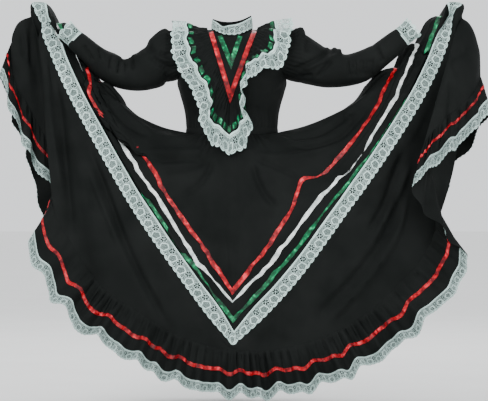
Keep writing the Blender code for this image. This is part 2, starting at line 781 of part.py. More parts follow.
def build_skirt(finishes):
    """Front and back panels, the zigzag trims, the flounce with its ribbon, and the hem lace."""
    places = skirt_columns()
    grid = skirt_rows(places)
    grid[0, :, 2] -= SEAM_GAP / MM
    flounce = flounce_grid()
    normals = normals_of(np.concatenate([grid, flounce[1:2, ::WAVE_COLUMNS]]), around=True)[:-1]
    normals[0, :, 2] = np.maximum(normals[0, :, 2], 0)
    normals[0] = unit(normals[0])
    cloth, trim, gap = CLOTH / MM, TRIM / MM, SEAM_GAP / MM
    side = COLUMNS_TO_FRONT_FOLD + COLUMNS_TO_PEAK + 1
    front, back = halves_of(len(places), side)
    for name, chosen in (("skirt_front", front), ("skirt_back", back)):
        panel, facing = open_seams(grid[:, chosen], gap), normals[:, chosen]
        wall(name, panel, panel - facing * cloth, finishes["cloth"])
    for k, line in enumerate(V_LINES):
        rows = slice(3 + 2 * k, 5 + 2 * k)
        name = "skirt_lace" if line.name == "lace" else f"skirt_ribbon_{line.name}"
        layer(name, grid[rows], normals[rows], gap, trim, finishes[line.name], around=True)

    facing = normals_of(flounce, around=True)
    seam = normals[-1]
    here, along = split_columns(places)
    along = along[:, None]
    facing[0] = seam[here] * (1 - along) + seam[(here + 1) % len(places)] * along
    front, back = halves_of(flounce.shape[1], side * WAVE_COLUMNS)
    for name, chosen in (("flounce_front", front), ("flounce_back", back)):
        panel = open_seams(flounce[:, chosen], gap)
        wall(name, panel, panel - facing[:, chosen] * cloth, finishes["cloth"])
    layer("flounce_ribbon", flounce[1:3], facing[1:3], gap, trim, finishes["red"], around=True)
    layer("hem_lace", flounce[3:5], facing[3:5], gap, trim, finishes["lace"], around=True)
    return grid, normals


def halves_of(total, side):
    """The columns of the front and of the back, which meet at the side columns."""
    return np.arange(-side, side + 1) % total, np.arange(side, total - side + 1)


def open_seams(grid, gap):
    """Draws a panel's two side edges in by half a gap, so that its neighbour doesn't touch it."""
    moved = grid.copy()
    moved[:, 0] += unit(grid[:, 1] - grid[:, 0]) * gap / 2
    moved[:, -1] += unit(grid[:, -2] - grid[:, -1]) * gap / 2
    return moved


def build_waistband(finishes):
    """The band between bodice and skirt."""
    steps = 32
    angle = np.arange(steps) * 2 * math.pi / steps
    gap = SEAM_GAP / MM
    ring = np.stack([WAIST_HALF_WIDTH * np.sin(angle), -WAIST_HALF_DEPTH * np.cos(angle), 0 * angle], axis=-1)
    grid = np.array([ring + (0, 0, WAIST_HEIGHT - gap), ring + (0, 0, SKIRT_TOP)])
    normals = level_rims(normals_of(grid, around=True), [0, 1])
    wall("waistband", grid, grid - normals * (CLOTH / MM), finishes["cloth"], around=True)


def build_bodice(finishes):
    """One front and two backs that meet at a closed centre-back seam."""
    half = list(PANEL_COLUMNS)
    spread = [-c for c in reversed(half)] + half[1:]
    front = part_seam(bodice_grid(spread, "front"), SEAM_GAP / MM)
    right = part_seam(bodice_grid(list(reversed(half)), "back"), SEAM_GAP / MM)
    left = part_seam(bodice_grid([-c for c in half], "back"), SEAM_GAP / MM)
    right[:, -1, 0] += SEAM_GAP / MM / 2
    left[:, 0, 0] -= SEAM_GAP / MM / 2
    panels = {"bodice_front": front, "bodice_back_right": right, "bodice_back_left": left}
    made = {}
    for name, grid in panels.items():
        normals = normals_of(grid)
        normals = shoulder_normals(normals, grid)
        normals = level_rims(normals, [-1])
        made[name] = (grid, normals)
        wall(name, grid, grid - normals * (CLOTH / MM), finishes["cloth"])
    return made


def shoulder_normals(normals, grid):
    """Turns the shoulder edge's directions straight up, and the side edge's straight out, so that rims meet flat."""
    turned = normals.copy()
    turned[0, :, 1] = 0
    turned[0] = unit(turned[0])
    for column in (0, -1):
        if abs(grid[-1, column, 0]) > WAIST_HALF_WIDTH / 2:
            rows = slice(len(PANEL_ROWS) - 1 - UNDERARM_ROW, None)
            turned[rows, column, 1] = 0
            turned[rows, column] = unit(turned[rows, column])
        else:
            turned[:, column, 0] = 0
            turned[:, column] = unit(turned[:, column])
    return turned


def split_loop(loop, parts):
    """A closed loop of points with each side cut into equal parts."""
    ahead = np.roll(loop, -1, axis=0)
    return np.concatenate([loop + (ahead - loop) * k / parts for k in range(parts)], axis=1).reshape(-1, 3)


def armhole_loop(bodice, side):
    """The armhole's edge from the underarm up the leading side and down the other, as the sleeve's columns run."""
    first = len(PANEL_ROWS) - 1 - UNDERARM_ROW
    front = bodice["bodice_front"][0][:, -1 if side > 0 else 0]
    back = bodice["bodice_back_right" if side > 0 else "bodice_back_left"][0][:, 0 if side > 0 else -1]
    up = (front if side > 0 else back)[first::-1]
    down = (back if side > 0 else front)[1:first]
    loop = np.concatenate([up, down])
    loop[:, 1] -= np.sign(loop[:, 1]) * SEAM_GAP / MM / 2 * (np.abs(loop[:, 1]) < 1)
    return loop


def sleeve_grid(table, loop, side):
    """Rings of the sleeve from the armhole to the cuff."""
    values = np.array([r[1:] for r in table], float)
    count = SLEEVE_RINGS
    values = smooth_path(np.arange(len(values)), values, np.linspace(0, len(values) - 1, count))
    centres, heights, depths = values[:, :3], values[:, 3], values[:, 4]
    path = np.gradient(centres, axis=0)
    path[:, 1] = 0
    path = unit(path)
    level = np.clip(1 - np.arange(count) / 2, 0, 1)[:, None]
    path = unit(path * (1 - level) + np.array([side, 0, 0]) * level)
    up = np.stack([-path[:, 2], 0 * path[:, 0], path[:, 0]], axis=-1) * side
    columns = len(loop)
    turn = 2 * math.pi * np.arange(columns) / columns
    forward = np.sin(turn) * side
    rings = [loop + (side * SLEEVE_GAP, 0, 0)]
    for k, (centre, height, depth) in enumerate(zip(centres, heights, depths)):
        pucker = 1 + SLEEVE_PUCKER * (-1) ** k * (0 < k < count - 2)
        ring = centre - up[k] * height * pucker * np.cos(turn)[:, None]
        ring[:, 1] -= depth * pucker * forward
        rings.append(ring)
    return np.array(rings)


def build_sleeves(finishes, bodice):
    """Sleeves with a lace edge at each cuff."""
    gap = SEAM_GAP / MM
    for name, table, side in (("right", RIGHT_SLEEVE, 1), ("left", LEFT_SLEEVE, -1)):
        loop = armhole_loop(bodice, side)
        grid = sleeve_grid(table, split_loop(loop, 2), side)
        normals = normals_of(grid, around=True)
        normals[0, :, 0] = 0
        normals[0] = unit(normals[0])
        wall(f"sleeve_{name}", grid, grid - normals * (CLOTH / MM), finishes["cloth"], around=True)
        before, end = grid[-2], grid[-1]
        run = unit(end.mean(axis=0) - before.mean(axis=0))
        facing = unit(end - end.mean(axis=0))
        start = end + (before - end) * CUFF_LACE_OVERLAP
        lace = np.array([start, end, end + run * CUFF_LACE + facing * CUFF_LACE_FLARE])
        start_facing = normals[-1] + (normals[-2] - normals[-1]) * CUFF_LACE_OVERLAP
        facing = np.array([start_facing, normals[-1], facing])
        layer(f"cuff_lace_{name}", lace, facing, gap, TRIM / MM, finishes["lace"], around=True)


def build_collar(finishes, bodice):
    """A stand collar covered with lace below a bare upper edge."""
    front = bodice["bodice_front"][0][0]
    right = bodice["bodice_back_right"][0][0]
    left = bodice["bodice_back_left"][0][0]
    middle = len(PANEL_COLUMNS) - 1
    neck = NECK_COLUMNS
    loop = np.concatenate(
        [
            front[middle : middle + neck],
            [(front[middle + neck] + right[middle - neck]) / 2],
            right[middle - neck + 1 : middle],
            [(right[middle] + left[0]) / 2],
            left[1:neck],
            [(front[middle - neck] + left[neck]) / 2],
            front[middle - neck + 1 : middle],
        ]
    )
    loop = split_loop(loop, 2)
    low = loop + (0, 0, COLLAR_GAP)
    top = low + (0, -COLLAR_LEAN, COLLAR_HEIGHT)
    top[:, 0] *= COLLAR_TAPER
    top[:, 2] += COLLAR_RISE * loop[:, 0] / NECK_HALF_WIDTH
    grid = np.array([low, *(low + (top - low) * share for share in COLLAR_LACE_SHARES), top])
    normals = level_rims(normals_of(grid, around=True), range(len(grid)))
    wall("collar", grid, grid - normals * (CLOTH / MM), finishes["cloth"], around=True)
    layer("collar_lace", grid[1:3], normals[1:3], SEAM_GAP / MM, TRIM / MM, finishes["lace"], around=True)


def clipped(polygon, point, away):
    """A polygon of (place, direction) pairs, cut by a line seen from the front. The side that away points to goes."""
    kept = []
    for k, (p, n) in enumerate(polygon):
        q, m = polygon[(k + 1) % len(polygon)]
        a = (p[0] - point[0]) * away[0] + (p[2] - point[1]) * away[1]
        b = (q[0] - point[0]) * away[0] + (q[2] - point[1]) * away[1]
        if a <= 0:
            kept.append((p, n))
        if (a < 0 < b) or (b < 0 < a):
            t = a / (a - b)
            kept.append((p + (q - p) * t, n + (m - n) * t))
    return kept


def v_patch(grid, normals, arms, width):
    """The triangles of a panel's outer side that lie under a V of ribbon."""
    rows, columns = grid.shape[:2]
    tip = np.array(arms[0].tip, float)
    runs = [unit(np.array(arm.top, float) - tip) for arm in arms]
    middle = unit(sum(runs))
    polygons = []
    for arm, run in zip(arms, runs):
        across = np.array([run[1], -run[0]])
        mitre = np.array([middle[1], -middle[0]])
        cuts = (
            (tip + across * width / 2, across),
            (tip - across * width / 2, -across),
            (tip, mitre if mitre @ run < 0 else -mitre),
            (np.array(arm.top, float), run),
        )
        for i in range(rows - 1):
            for j in range(columns - 1):
                corners = [(i, j), (i + 1, j), (i + 1, j + 1), (i, j + 1)]
                for chosen in ((0, 1, 2), (0, 2, 3)):
                    polygon = [(grid[corners[c]], normals[corners[c]]) for c in chosen]
                    for point, away in cuts:
                        polygon = clipped(polygon, point, away) if polygon else polygon
                    if len(polygon) > 2 and patch_area(polygon) > 1e-4:
                        polygons.append(polygon)
    return polygons


def patch_area(polygon):
    first = polygon[0][0]
    return sum(
        np.linalg.norm(np.cross(b[0] - first, c[0] - first)) / 2 for b, c in zip(polygon[1:-1], polygon[2:])
    )


def patch_wall(name, polygons, start, thickness, finish):
    """A closed thin wall that lies outside a patch of a panel."""
    index = {}
    places, directions = [], []
    faces = []
    for polygon in polygons:
        face = []
        for p, n in polygon:
            key = tuple(np.round(p, 3))
            if key not in index:
                index[key] = len(places)
                places.append(p)
                directions.append(n)
            if not face or face[-1] != index[key]:
                face.append(index[key])
        if face[0] == face[-1]:
            face.pop()
        faces += [(face[0], b, c) for b, c in zip(face[1:-1], face[2:])]
    places, directions = np.array(places), np.array(directions)
    count = len(places)
    points = np.concatenate([places + directions * (start + thickness), places + directions * start]) * MM
    edges = {(a, b) for face in faces for a, b in zip(face, face[1:] + face[:1])}
    rim = [(a, b) for a, b in edges if (b, a) not in edges]
    solid = list(faces) + [tuple(k + count for k in reversed(face)) for face in faces]
    for a, b in rim:
        solid += [(b, a, a + count), (b, a + count, b + count)]
    return mesh_object(name, points, solid, finish)


def build_yoke(finishes, bodice):
    """Two Vs of ribbon on the front of the bodice."""
    grid, normals = bodice["bodice_front"]
    for colour in ("red", "green"):
        arms = [arm for arm in YOKE_ARMS if arm.colour == colour]
        polygons = v_patch(grid, normals, arms, RIBBON_WIDTH)
        patch_wall(f"yoke_ribbon_{colour}", polygons, SEAM_GAP / MM, TRIM / MM, finishes[colour])


def ruffle_grid(table):
    """Rows of a half of the V ruffle: sewn edge, both ribbon edges, cloth edge and lace edge, and its directions."""
    shoulder = [s.name for s in table].index("shoulder")
    sewn, edge, lace = [], [], []
    for k, station in enumerate(table):
        across, height = station.sewn
        top = SHOULDER_HEIGHT - SHOULDER_SLOPE * (abs(across) - NECK_HALF_WIDTH)
        share = (height - WAIST_HEIGHT) / (top - WAIST_HEIGHT)
        sewn.append((across, share if k < shoulder else 1.0 if k == shoulder else 2 - share))
        edge.append(station.edge)
        lace.append(station.lace)
    edge, lace = np.array(edge, float), np.array(lace, float)
    length = np.concatenate([[0], np.cumsum(np.linalg.norm(np.diff(edge, axis=0), axis=1))])
    count = RUFFLE_WAVES * RUFFLE_WAVE_COLUMNS
    at = np.linspace(0, length[-1], count + 1)
    sewn = smooth_path(length, np.array(sewn), at)
    edge, lace = smooth_path(length, edge, at), smooth_path(length, lace, at)
    start, outward = on_bodice(sewn[:, 0], sewn[:, 1])
    start = start + outward * (RUFFLE_OFF + RUFFLE_SHOULDER_OFF * bell(sewn[:, 1], 1, 0.06)[:, None])
    part = np.arange(count + 1) / RUFFLE_WAVE_COLUMNS
    wave = np.cos(2 * math.pi * part)
    wave[0] = wave[-1] = 0
    rows = []
    normal = normals_of(np.array([start, edge, lace]))
    for share in (0, *RUFFLE_RIBBON, 1):
        rows.append(start + (edge - start) * share + normal[1] * (wave * RUFFLE_WAVE * share**1.5)[:, None])
    rows.append(lace + normal[2] * (wave * RUFFLE_LACE_WAVE)[:, None])
    return np.array(rows)


def build_ruffles(finishes):
    """The V ruffle: a left and a right half that meet at a seam down the middle, each with ribbon and a lace edge."""
    gap = SEAM_GAP / MM
    for name, table, side in (("right", RIGHT_RUFFLE, 1), ("left", LEFT_RUFFLE, -1)):
        grid = ruffle_grid(table)[:, ::side]
        normals = normals_of(grid)
        for column in (0, -1):
            normals[:, column, 0] = 0
        normals = unit(normals)
        cloth, facing = grid[:4], normals[:4]
        wall(f"ruffle_{name}", cloth, cloth - facing * (CLOTH / MM), finishes["cloth"])
        layer(f"ruffle_ribbon_{name}", grid[1:3], normals[1:3], gap, TRIM / MM, finishes["green"])
        lace = grid[3:5].copy()
        lace[0] += unit(lace[1] - lace[0]) * gap * 2
        wall(f"ruffle_lace_{name}", lace, lace - normals[3:5] * (TRIM / MM), finishes["lace"])


def main():
    clear_scene()
    finishes = {
        "cloth": material("black_cloth", CLOTH_COLOUR, 0.75),
        "lace": material("white_lace", LACE_COLOUR, 0.85),
        "red": material("red_ribbon", RED_COLOUR, 0.30),
        "green": material("green_ribbon", GREEN_COLOUR, 0.30),
        "white": material("white_ribbon", WHITE_COLOUR, 0.35),
    }
    build_skirt(finishes)
    build_waistband(finishes)
    bodice = build_bodice(finishes)
    build_sleeves(finishes, bodice)
    build_collar(finishes, bodice)
    build_yoke(finishes, bodice)
    build_ruffles(finishes)


main()
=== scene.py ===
"""Looks of the folklorico dress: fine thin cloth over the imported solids, satin ribbons and openwork lace.

Metres outside, millimetres in the tables and in the shape functions. +Z up, the front faces -Y.
Every piece is worked out from the same tables as its solid, and read at finer places.
"""

import math
from collections import namedtuple

import bpy
import numpy as np
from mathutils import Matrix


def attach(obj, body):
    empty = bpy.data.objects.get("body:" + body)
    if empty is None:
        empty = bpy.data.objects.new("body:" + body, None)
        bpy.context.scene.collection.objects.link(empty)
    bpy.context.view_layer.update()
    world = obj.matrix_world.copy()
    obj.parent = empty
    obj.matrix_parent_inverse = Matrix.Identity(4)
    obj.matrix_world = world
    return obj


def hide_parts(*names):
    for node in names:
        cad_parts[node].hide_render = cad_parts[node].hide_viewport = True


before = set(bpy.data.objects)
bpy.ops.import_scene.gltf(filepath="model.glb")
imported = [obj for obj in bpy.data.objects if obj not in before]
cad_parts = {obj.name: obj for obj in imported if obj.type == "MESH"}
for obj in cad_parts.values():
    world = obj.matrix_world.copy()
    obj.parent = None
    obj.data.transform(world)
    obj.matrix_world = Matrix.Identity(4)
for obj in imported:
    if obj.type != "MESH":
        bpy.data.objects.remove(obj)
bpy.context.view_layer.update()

MM = 0.001
TURN = 2 * math.pi

# Bodice
WAIST_HEIGHT = -330
WAIST_BAND = 24
SHOULDER_HEIGHT = 15
SHOULDER_SLOPE = 0.05
NECK_HALF_WIDTH = 72
SHOULDER_TIP = 178
FRONT_NECK_DROP = 29
BACK_NECK_DROP = 12

# Collar
COLLAR_GAP = 0.6
COLLAR_HEIGHT = 43
COLLAR_LEAN = 4
COLLAR_TAPER = 0.93
COLLAR_RISE = 6
COLLAR_LACE_SHARES = (0.1, 0.9)

# Sleeves
SLEEVE_GAP = 0.5
CUFF_LACE = 46
CUFF_LACE_FLARE = 3

# V ruffle
RUFFLE_WAVES = 14
RUFFLE_RIBBON = (0.66, 0.84)
RUFFLE_OFF = 3.4
RUFFLE_SHOULDER_OFF = 3.5

# Trim
RIBBON_WIDTH = 16
LACE_WIDTH = 50

# Skirt
WAIST_HALF_WIDTH = 160
WAIST_HALF_DEPTH = 117
SKIRT_TOP = WAIST_HEIGHT - WAIST_BAND
PEAK_AROUND = 14 / 60
SIDE_AROUND = 15 / 60
FRONT_FOLD_AROUND = 11 / 60
BACK_FOLD_AROUND = 19 / 60
SHARE_AT_FOLD = 0.93
COLUMNS_TO_FRONT_FOLD = 11
COLUMNS_TO_PEAK = 3
COLUMNS_TO_BACK_FOLD = 3
COLUMNS_TO_BACK_MIDDLE = 8
WEB_SHARES = (0.34, 0.68)
WEB_SAG = 46
WEB_FULLNESS = 26
BULGE_ROOM = 340
LEAN_ABOVE = 60
WEB_WIDTH = 0.075
# Shifts beside the hands: where round the skirt, how wide, and the shift at the right and at the left hand
HAND_SWELL = (0.305, 0.028, (50, 0, 4), (-50, 0, 20))
HAND_SPREAD = (0.305, 0.028, (110, 0, 0), (-140, 0, 0))
HAND_RISE = (0.274, 0.02, (12, 0, 42), (-20, 14, 46))
# Rows below the lace: shares of the way to the seam, of the swell and of the rise
DRAPE_ROWS = ((0.2, 1.0, 1.0), (0.42, 0.95, 0.4), (0.66, 0.55, 0.0))
DRAPE_END = 1.12
DRAPE_FADE = 0.35
FIRST_V_ROW = 3

# Flounce
FLOUNCE_DEPTH = 160
FLOUNCE_GAP = 0.6
FLOUNCE_WAVE = 20


def table(columns, *rows):
    """Rows of values with named columns."""
    row = namedtuple("Row", columns)
    return [row(*values) for values in rows]


# Rings of the bodice: the share of the height from waist to shoulder, and the reach in millimetres
BODICE = table(
    "name share half_width front back",
    ("waist", 0.00, 160, 117, 107),
    ("ribs", 0.17, 166, 122, 109),
    ("bust", 0.36, 183, 141, 114),
    ("underarm", 0.50, 190, 138, 117),
    ("chest", 0.64, 195, 126, 112),
    ("collarbone", 0.80, 199, 98, 93),
    ("neck", 0.91, 202, 66, 64),
    ("shoulder front", 0.97, 204, 36, 36),
    ("shoulder", 1.00, 205, 0, 0),
)
# Rows of a bodice panel: the share of the height, and how far the side edge lies from the middle
PANEL_ROWS = (
    (0.00, 160),
    (0.12, 163),
    (0.24, 171),
    (0.36, 183),
    (0.50, 190),
    (0.58, 172),
    (0.68, 161),
    (0.79, 159),
    (0.89, 164),
    (0.96, 171),
    (1.00, 178),
)
UNDERARM_ROW = 4

# Rings of a sleeve: the middle, and the half height seen from the front and half depth
SLEEVE_COLUMNS = "name across depth height half_height half_depth"
LEFT_SLEEVE = table(
    SLEEVE_COLUMNS,
    ("puff", -231, -8, -80, 88, 84),
    ("upper arm", -283, -20, -121, 74, 72),
    ("lower upper arm", -335, -38, -144, 58, 60),
    ("elbow", -387, -62, -145, 50, 52),
    ("forearm", -432, -88, -121, 47, 47),
    ("mid forearm", -473, -116, -87, 42, 42),
    ("wrist", -512, -140, -53, 36, 37),
    ("cuff", -543, -160, -24, 31, 33),
)
RIGHT_SLEEVE = table(
    SLEEVE_COLUMNS,
    ("puff", 243, -8, -84, 87, 84),
    ("upper arm", 295, -20, -111, 73, 72),
    ("lower upper arm", 347, -36, -126, 64, 62),
    ("elbow", 398, -56, -131, 57, 56),
    ("forearm", 450, -78, -118, 52, 50),
    ("mid forearm", 502, -98, -87, 46, 45),
    ("wrist", 547, -118, -53, 40, 40),
    ("cuff", 592, -134, -15, 34, 35),
)

# Stations of the V ruffle: where it is sewn on, and its cloth edge and lace edge (across, depth, height)
RUFFLE_COLUMNS = "name sewn edge lace"
RUFFLE_BACK = (
    ("shoulder blade", (69, -16), (158, 92, -28), (208, 96, -34)),
    ("upper back", (56, -66), (135, 132, -95), (183, 124, -110)),
    ("mid back", (32, -130), (94, 142, -180), (134, 142, -205)),
    ("back tip", (0.3, -180), (0.3, 140, -262), (0.3, 148, -315)),
)
LEFT_RUFFLE = table(
    RUFFLE_COLUMNS,
    ("tip", (-7.3, -252), (-7.3, -144, -369), (-7.3, -170, -430)),
    ("low front", (-18, -225), (-50, -148, -338), (-61, -166, -396)),
    ("waist", (-26, -198), (-81, -152, -307), (-98, -160, -348)),
    ("ribs", (-36, -163), (-71, -166, -252), (-115, -166, -273)),
    ("bust", (-46, -129), (-88, -164, -198), (-136, -158, -211)),
    ("chest", (-57, -88), (-122, -150, -143), (-170, -138, -157)),
    ("armhole", (-69, -47), (-150, -126, -85), (-201, -116, -95)),
    ("collarbone", (-78, -16), (-160, -98, -33), (-210, -106, -40)),
    ("shoulder", (-86, 12), (-162, -20, 32), (-207, -20, 30)),
    *((name, *((-across, *rest) for across, *rest in places)) for name, *places in RUFFLE_BACK),
)
RIGHT_RUFFLE = table(
    RUFFLE_COLUMNS,
    ("tip", (-6.7, -252), (-6.7, -144, -369), (-6.7, -170, -430)),
    ("low front", (9, -225), (28, -150, -335), (49, -168, -396)),
    ("waist", (18, -198), (49, -156, -307), (66, -168, -355)),
    ("ribs", (30, -163), (34, -182, -252), (44, -206, -280)),
    ("bust", (42, -129), (36, -190, -198), (42, -220, -218)),
    ("chest", (54, -92), (57, -180, -124), (60, -200, -172)),
    ("armhole", (66, -58), (104, -164, -88), (112, -174, -139)),
    ("collarbone", (78, -22), (145, -138, -76), (172, -142, -126)),
    ("front shoulder", (86, 1), (153, -92, -24), (200, -106, -42)),
    ("shoulder", (89, 11), (157, -16, 33), (212, -16, 36)),
    *RUFFLE_BACK,
)

# Lines of trim that run round the skirt in a zigzag: down at the middles and up to both hands. right and left
# are the places seen from the front (across, height) at each fifth of the way from tip to hand.
V_LINES = table(
    "name width tip_depth hand_depth over_the_top back_rise back_depth right left",
    (
        *("red", RIBBON_WIDTH, -270, -100, (-30, 44, -14), 40, 285),
        ((2, -891), (119, -741), (227, -584), (357, -446), (475, -297), (563, -129)),
        ((2, -891), (-96, -741), (-200, -595), (-292, -443), (-392, -308), (-462, -178)),
    ),
    (
        *("white", RIBBON_WIDTH, -278, -92, (-30, 42, -10), 42, 292),
        ((3, -924), (154, -766), (286, -591), (430, -427), (552, -246), (640, -46)),
        ((3, -924), (-130, -767), (-239, -592), (-355, -422), (-453, -242), (-543, -62)),
    ),
    (
        *("green", RIBBON_WIDTH, -288, -85, (-14, 38, 2), 46, 302),
        ((5, -984), (176, -798), (330, -598), (481, -395), (616, -182), (717, 49)),
        ((5, -984), (-136, -793), (-272, -598), (-394, -395), (-505, -186), (-596, 24)),
    ),
    (
        *("lace", LACE_WIDTH, -302, -80, (2, 34, 8), 52, 314),
        ((7, -1046), (196, -847), (362, -625), (523, -400), (668, -163), (772, 94)),
        ((7, -1046), (-151, -835), (-304, -617), (-440, -388), (-566, -153), (-667, 94)),
    ),
)

# Points of the hem: where each is round the skirt in sixtieths, and its place. leans is 1 where the flounce
# points at the waist and 0 where it points at the hand. The cloth above bulges sideways, away from the
# middle, and forward.
HEM = table(
    "name sixtieths across depth height leans bulge forward",
    ("front centre", 0, 25, -365, -1236, 1.0, 0, 0),
    ("front right 1", 3, 232, -355, -1220, 1.0, 0, 0),
    ("front right 2", 6, 445, -328, -1145, 1.0, 0, 0),
    ("front right 3", 9, 655, -285, -990, 1.0, 10, 0),
    ("right outer fold", 11, 800, -238, -800, 0.75, 60, 0),
    ("right folded hem", 12.5, 700, -290, -668, 0.2, 30, -14),
    ("right inner fold", 14, 605, -345, -548, 0.0, 0, 12),
    ("right flop 1", 15.7, 695, -320, -458, 0.0, 0, 50),
    ("right flop 2", 17.3, 790, -270, -375, 0.0, 8, 44),
    ("right far fold", 19, 882, -190, -288, 0.0, 20, 16),
    ("back right 1", 21, 790, -30, -450, 0.3, 0, -20),
    ("back right 2", 23.5, 660, 130, -760, 0.9, 0, 0),
    ("back right 3", 26.5, 430, 270, -1050, 1.0, 0, 0),
    ("back centre", 30, 0, 365, -1205, 1.0, 0, 0),
    ("back left 3", 33.5, -430, 270, -1040, 1.0, 0, 0),
    ("back left 2", 36.5, -640, 130, -730, 0.9, 0, 0),
    ("back left 1", 39, -732, 34, -400, 0.35, 0, -34),
    ("left far fold", 41, -798, -104, -160, 0.0, 26, 0),
    ("left flop 2", 42.7, -740, -126, -325, 0.0, 16, 24),
    ("left flop 1", 44.3, -680, -116, -468, 0.0, 0, 14),
    ("left inner fold", 46, -600, -115, -560, 0.0, 0, 0),
    ("left folded hem", 47.5, -615, -170, -655, 0.2, 0, 0),
    ("left outer fold", 49, -688, -240, -730, 0.5, 6, 0),
    ("front left 3", 51, -575, -285, -945, 1.0, 10, 0),
    ("front left 2", 54, -390, -328, -1085, 1.0, 0, 0),
    ("front left 1", 57, -185, -355, -1192, 1.0, 0, 0),
)

# Long soft folds of the skirt below the lace, from a hand to the middle of the hem
DRAPE_FOLDS = table(
    "side face share width height",
    ("left", "front", 0.30, 0.16, 16),
    ("left", "front", 0.68, 0.15, 18),
    ("right", "front", 0.38, 0.16, 14),
    ("right", "front", 0.72, 0.14, 20),
    ("left", "back", 0.32, 0.16, 16),
    ("left", "back", 0.70, 0.14, 18),
    ("right", "back", 0.35, 0.15, 16),
    ("right", "back", 0.70, 0.15, 18),
)

# Places round the skirt where the flounce's waves die down
CALM_PLACES = table(
    "around share width",
    (FRONT_FOLD_AROUND, 0.6, 0.022),
    (PEAK_AROUND, 0.8, 0.022),
    (BACK_FOLD_AROUND, 0.75, 0.024),
)

# The Vs of ribbon on the front: left top, tip and right top of the middle line, seen from the front
YOKE_VS = {
    "red": ((-73, 3), (-5, -225), (79, 8)),
    "green": ((-42, -12), (-3, -111), (29, -14)),
}


# Shared shape functions


def smooth_path(stations, points, at, period=None):
    """A smooth curve through points at their stations, read at other places. A period closes it."""
    stations, points, at = (np.asarray(values, float) for values in (stations, points, at))
    if period:
        stations = np.concatenate([stations[-2:] - period, stations, stations[:2] + period])
        points = np.concatenate([points[-2:], points, points[:2]])
    steps = np.diff(stations)
    slopes = np.diff(points, axis=0) / steps[:, None]
    before, after = steps[:-1, None], steps[1:, None]
    inner = (slopes[:-1] * after + slopes[1:] * before) / (before + after)
    tangents = np.concatenate([slopes[:1], inner, slopes[-1:]])
    k = np.clip(np.searchsorted(stations, at, side="right") - 1, 0, len(steps) - 1)
    h = steps[k][:, None]
    t = (at - stations[k])[:, None] / h
    return (
        points[k] * (1 + 2 * t) * (1 - t) ** 2
        + tangents[k] * h * t * (1 - t) ** 2
        + points[k + 1] * t**2 * (3 - 2 * t)
        + tangents[k + 1] * h * t**2 * (t - 1)
    )


def numbers(rows):
    """The numbers of a table whose rows start with a name."""
    return np.array([row[1:] for row in rows], float)


def run_length(points, least=0.0):
    """How far along a line each of its points lies."""
    steps = np.linalg.norm(np.diff(points, axis=0), axis=1)
    return np.concatenate([[0], np.cumsum(np.maximum(steps, least))])


def as_places(*values):
    """Places from their separate coordinates."""
    return np.stack(np.broadcast_arrays(*values), axis=-1)


def unit(vectors):
    return vectors / np.maximum(np.linalg.norm(vectors, axis=-1, keepdims=True), 1e-12)


# How often and how far a direction is turned towards the triangle that it fits worst
TURNING_STEPS = 16
TURNING = 0.2


def crosses(grid):
    """Outward directions of both triangles of every quad of a grid, each as long as twice its area."""
    a, b, c, d = grid[:-1, :-1], grid[1:, :-1], grid[1:, 1:], grid[:-1, 1:]
    return np.cross(b - a, c - a), np.cross(c - a, d - a)


def normals_of(grid, around=False):
    """Outward directions of a grid, each facing the same way as every triangle that meets there.

    Rows run down the piece and columns run anticlockwise seen from above.
    """
    if around:
        grid = np.concatenate([grid[:, -1:], grid, grid[:, :1]], axis=1)
    lower, upper = (unit(cross) for cross in crosses(grid))
    met = np.zeros((6, *grid.shape))
    met[0, :-1, :-1] = lower
    met[1, 1:, :-1] = lower
    met[2, 1:, 1:] = lower
    met[3, :-1, :-1] = upper
    met[4, 1:, 1:] = upper
    met[5, :-1, 1:] = upper
    normals = unit(met.sum(axis=0))
    blank = (met == 0).all(axis=-1)
    for _ in range(TURNING_STEPS):
        facing = (met * normals).sum(axis=-1) + 2 * blank
        worst = np.take_along_axis(met, facing.argmin(axis=0)[None, :, :, None], axis=0)[0]
        normals = unit(normals + TURNING * worst)
    return normals[:, 1:-1] if around else normals


def bell(x, middle, width):
    return np.exp(-(((x - middle) / width) ** 2))


def smooth_step(x):
    x = np.clip(x, 0, 1)
    return x * x * (3 - 2 * x)


def window(x, low, high, fade_in, fade_out=None):
    """1 between two places and 0 outside them, with soft ends."""
    return smooth_step((x - low) / fade_in) * smooth_step((high - x) / (fade_out or fade_in))


def waves(turn, *parts):
    """A sum of waves, each with its size, how many there are in a turn and where it starts."""
    return sum(size * np.sin(count * turn + start) for size, count, start in parts)


# The skirt's surface


def skirt_columns():
    """Places round the skirt of its columns, with one on each fold and each peak."""
    stretches = (
        (0, FRONT_FOLD_AROUND, COLUMNS_TO_FRONT_FOLD),
        (FRONT_FOLD_AROUND, PEAK_AROUND, COLUMNS_TO_PEAK),
        (PEAK_AROUND, SIDE_AROUND, 1),
        (SIDE_AROUND, BACK_FOLD_AROUND, COLUMNS_TO_BACK_FOLD),
        (BACK_FOLD_AROUND, 0.5, COLUMNS_TO_BACK_MIDDLE),
    )
    half = [start + (end - start) * k / count for start, end, count in stretches for k in range(count)]
    return np.array(half + [0.5] + [1 - place for place in reversed(half[1:])])


def waist_ring(around, height):
    angle = TURN * around
    return as_places(WAIST_HALF_WIDTH * np.sin(angle), -WAIST_HALF_DEPTH * np.cos(angle), height)


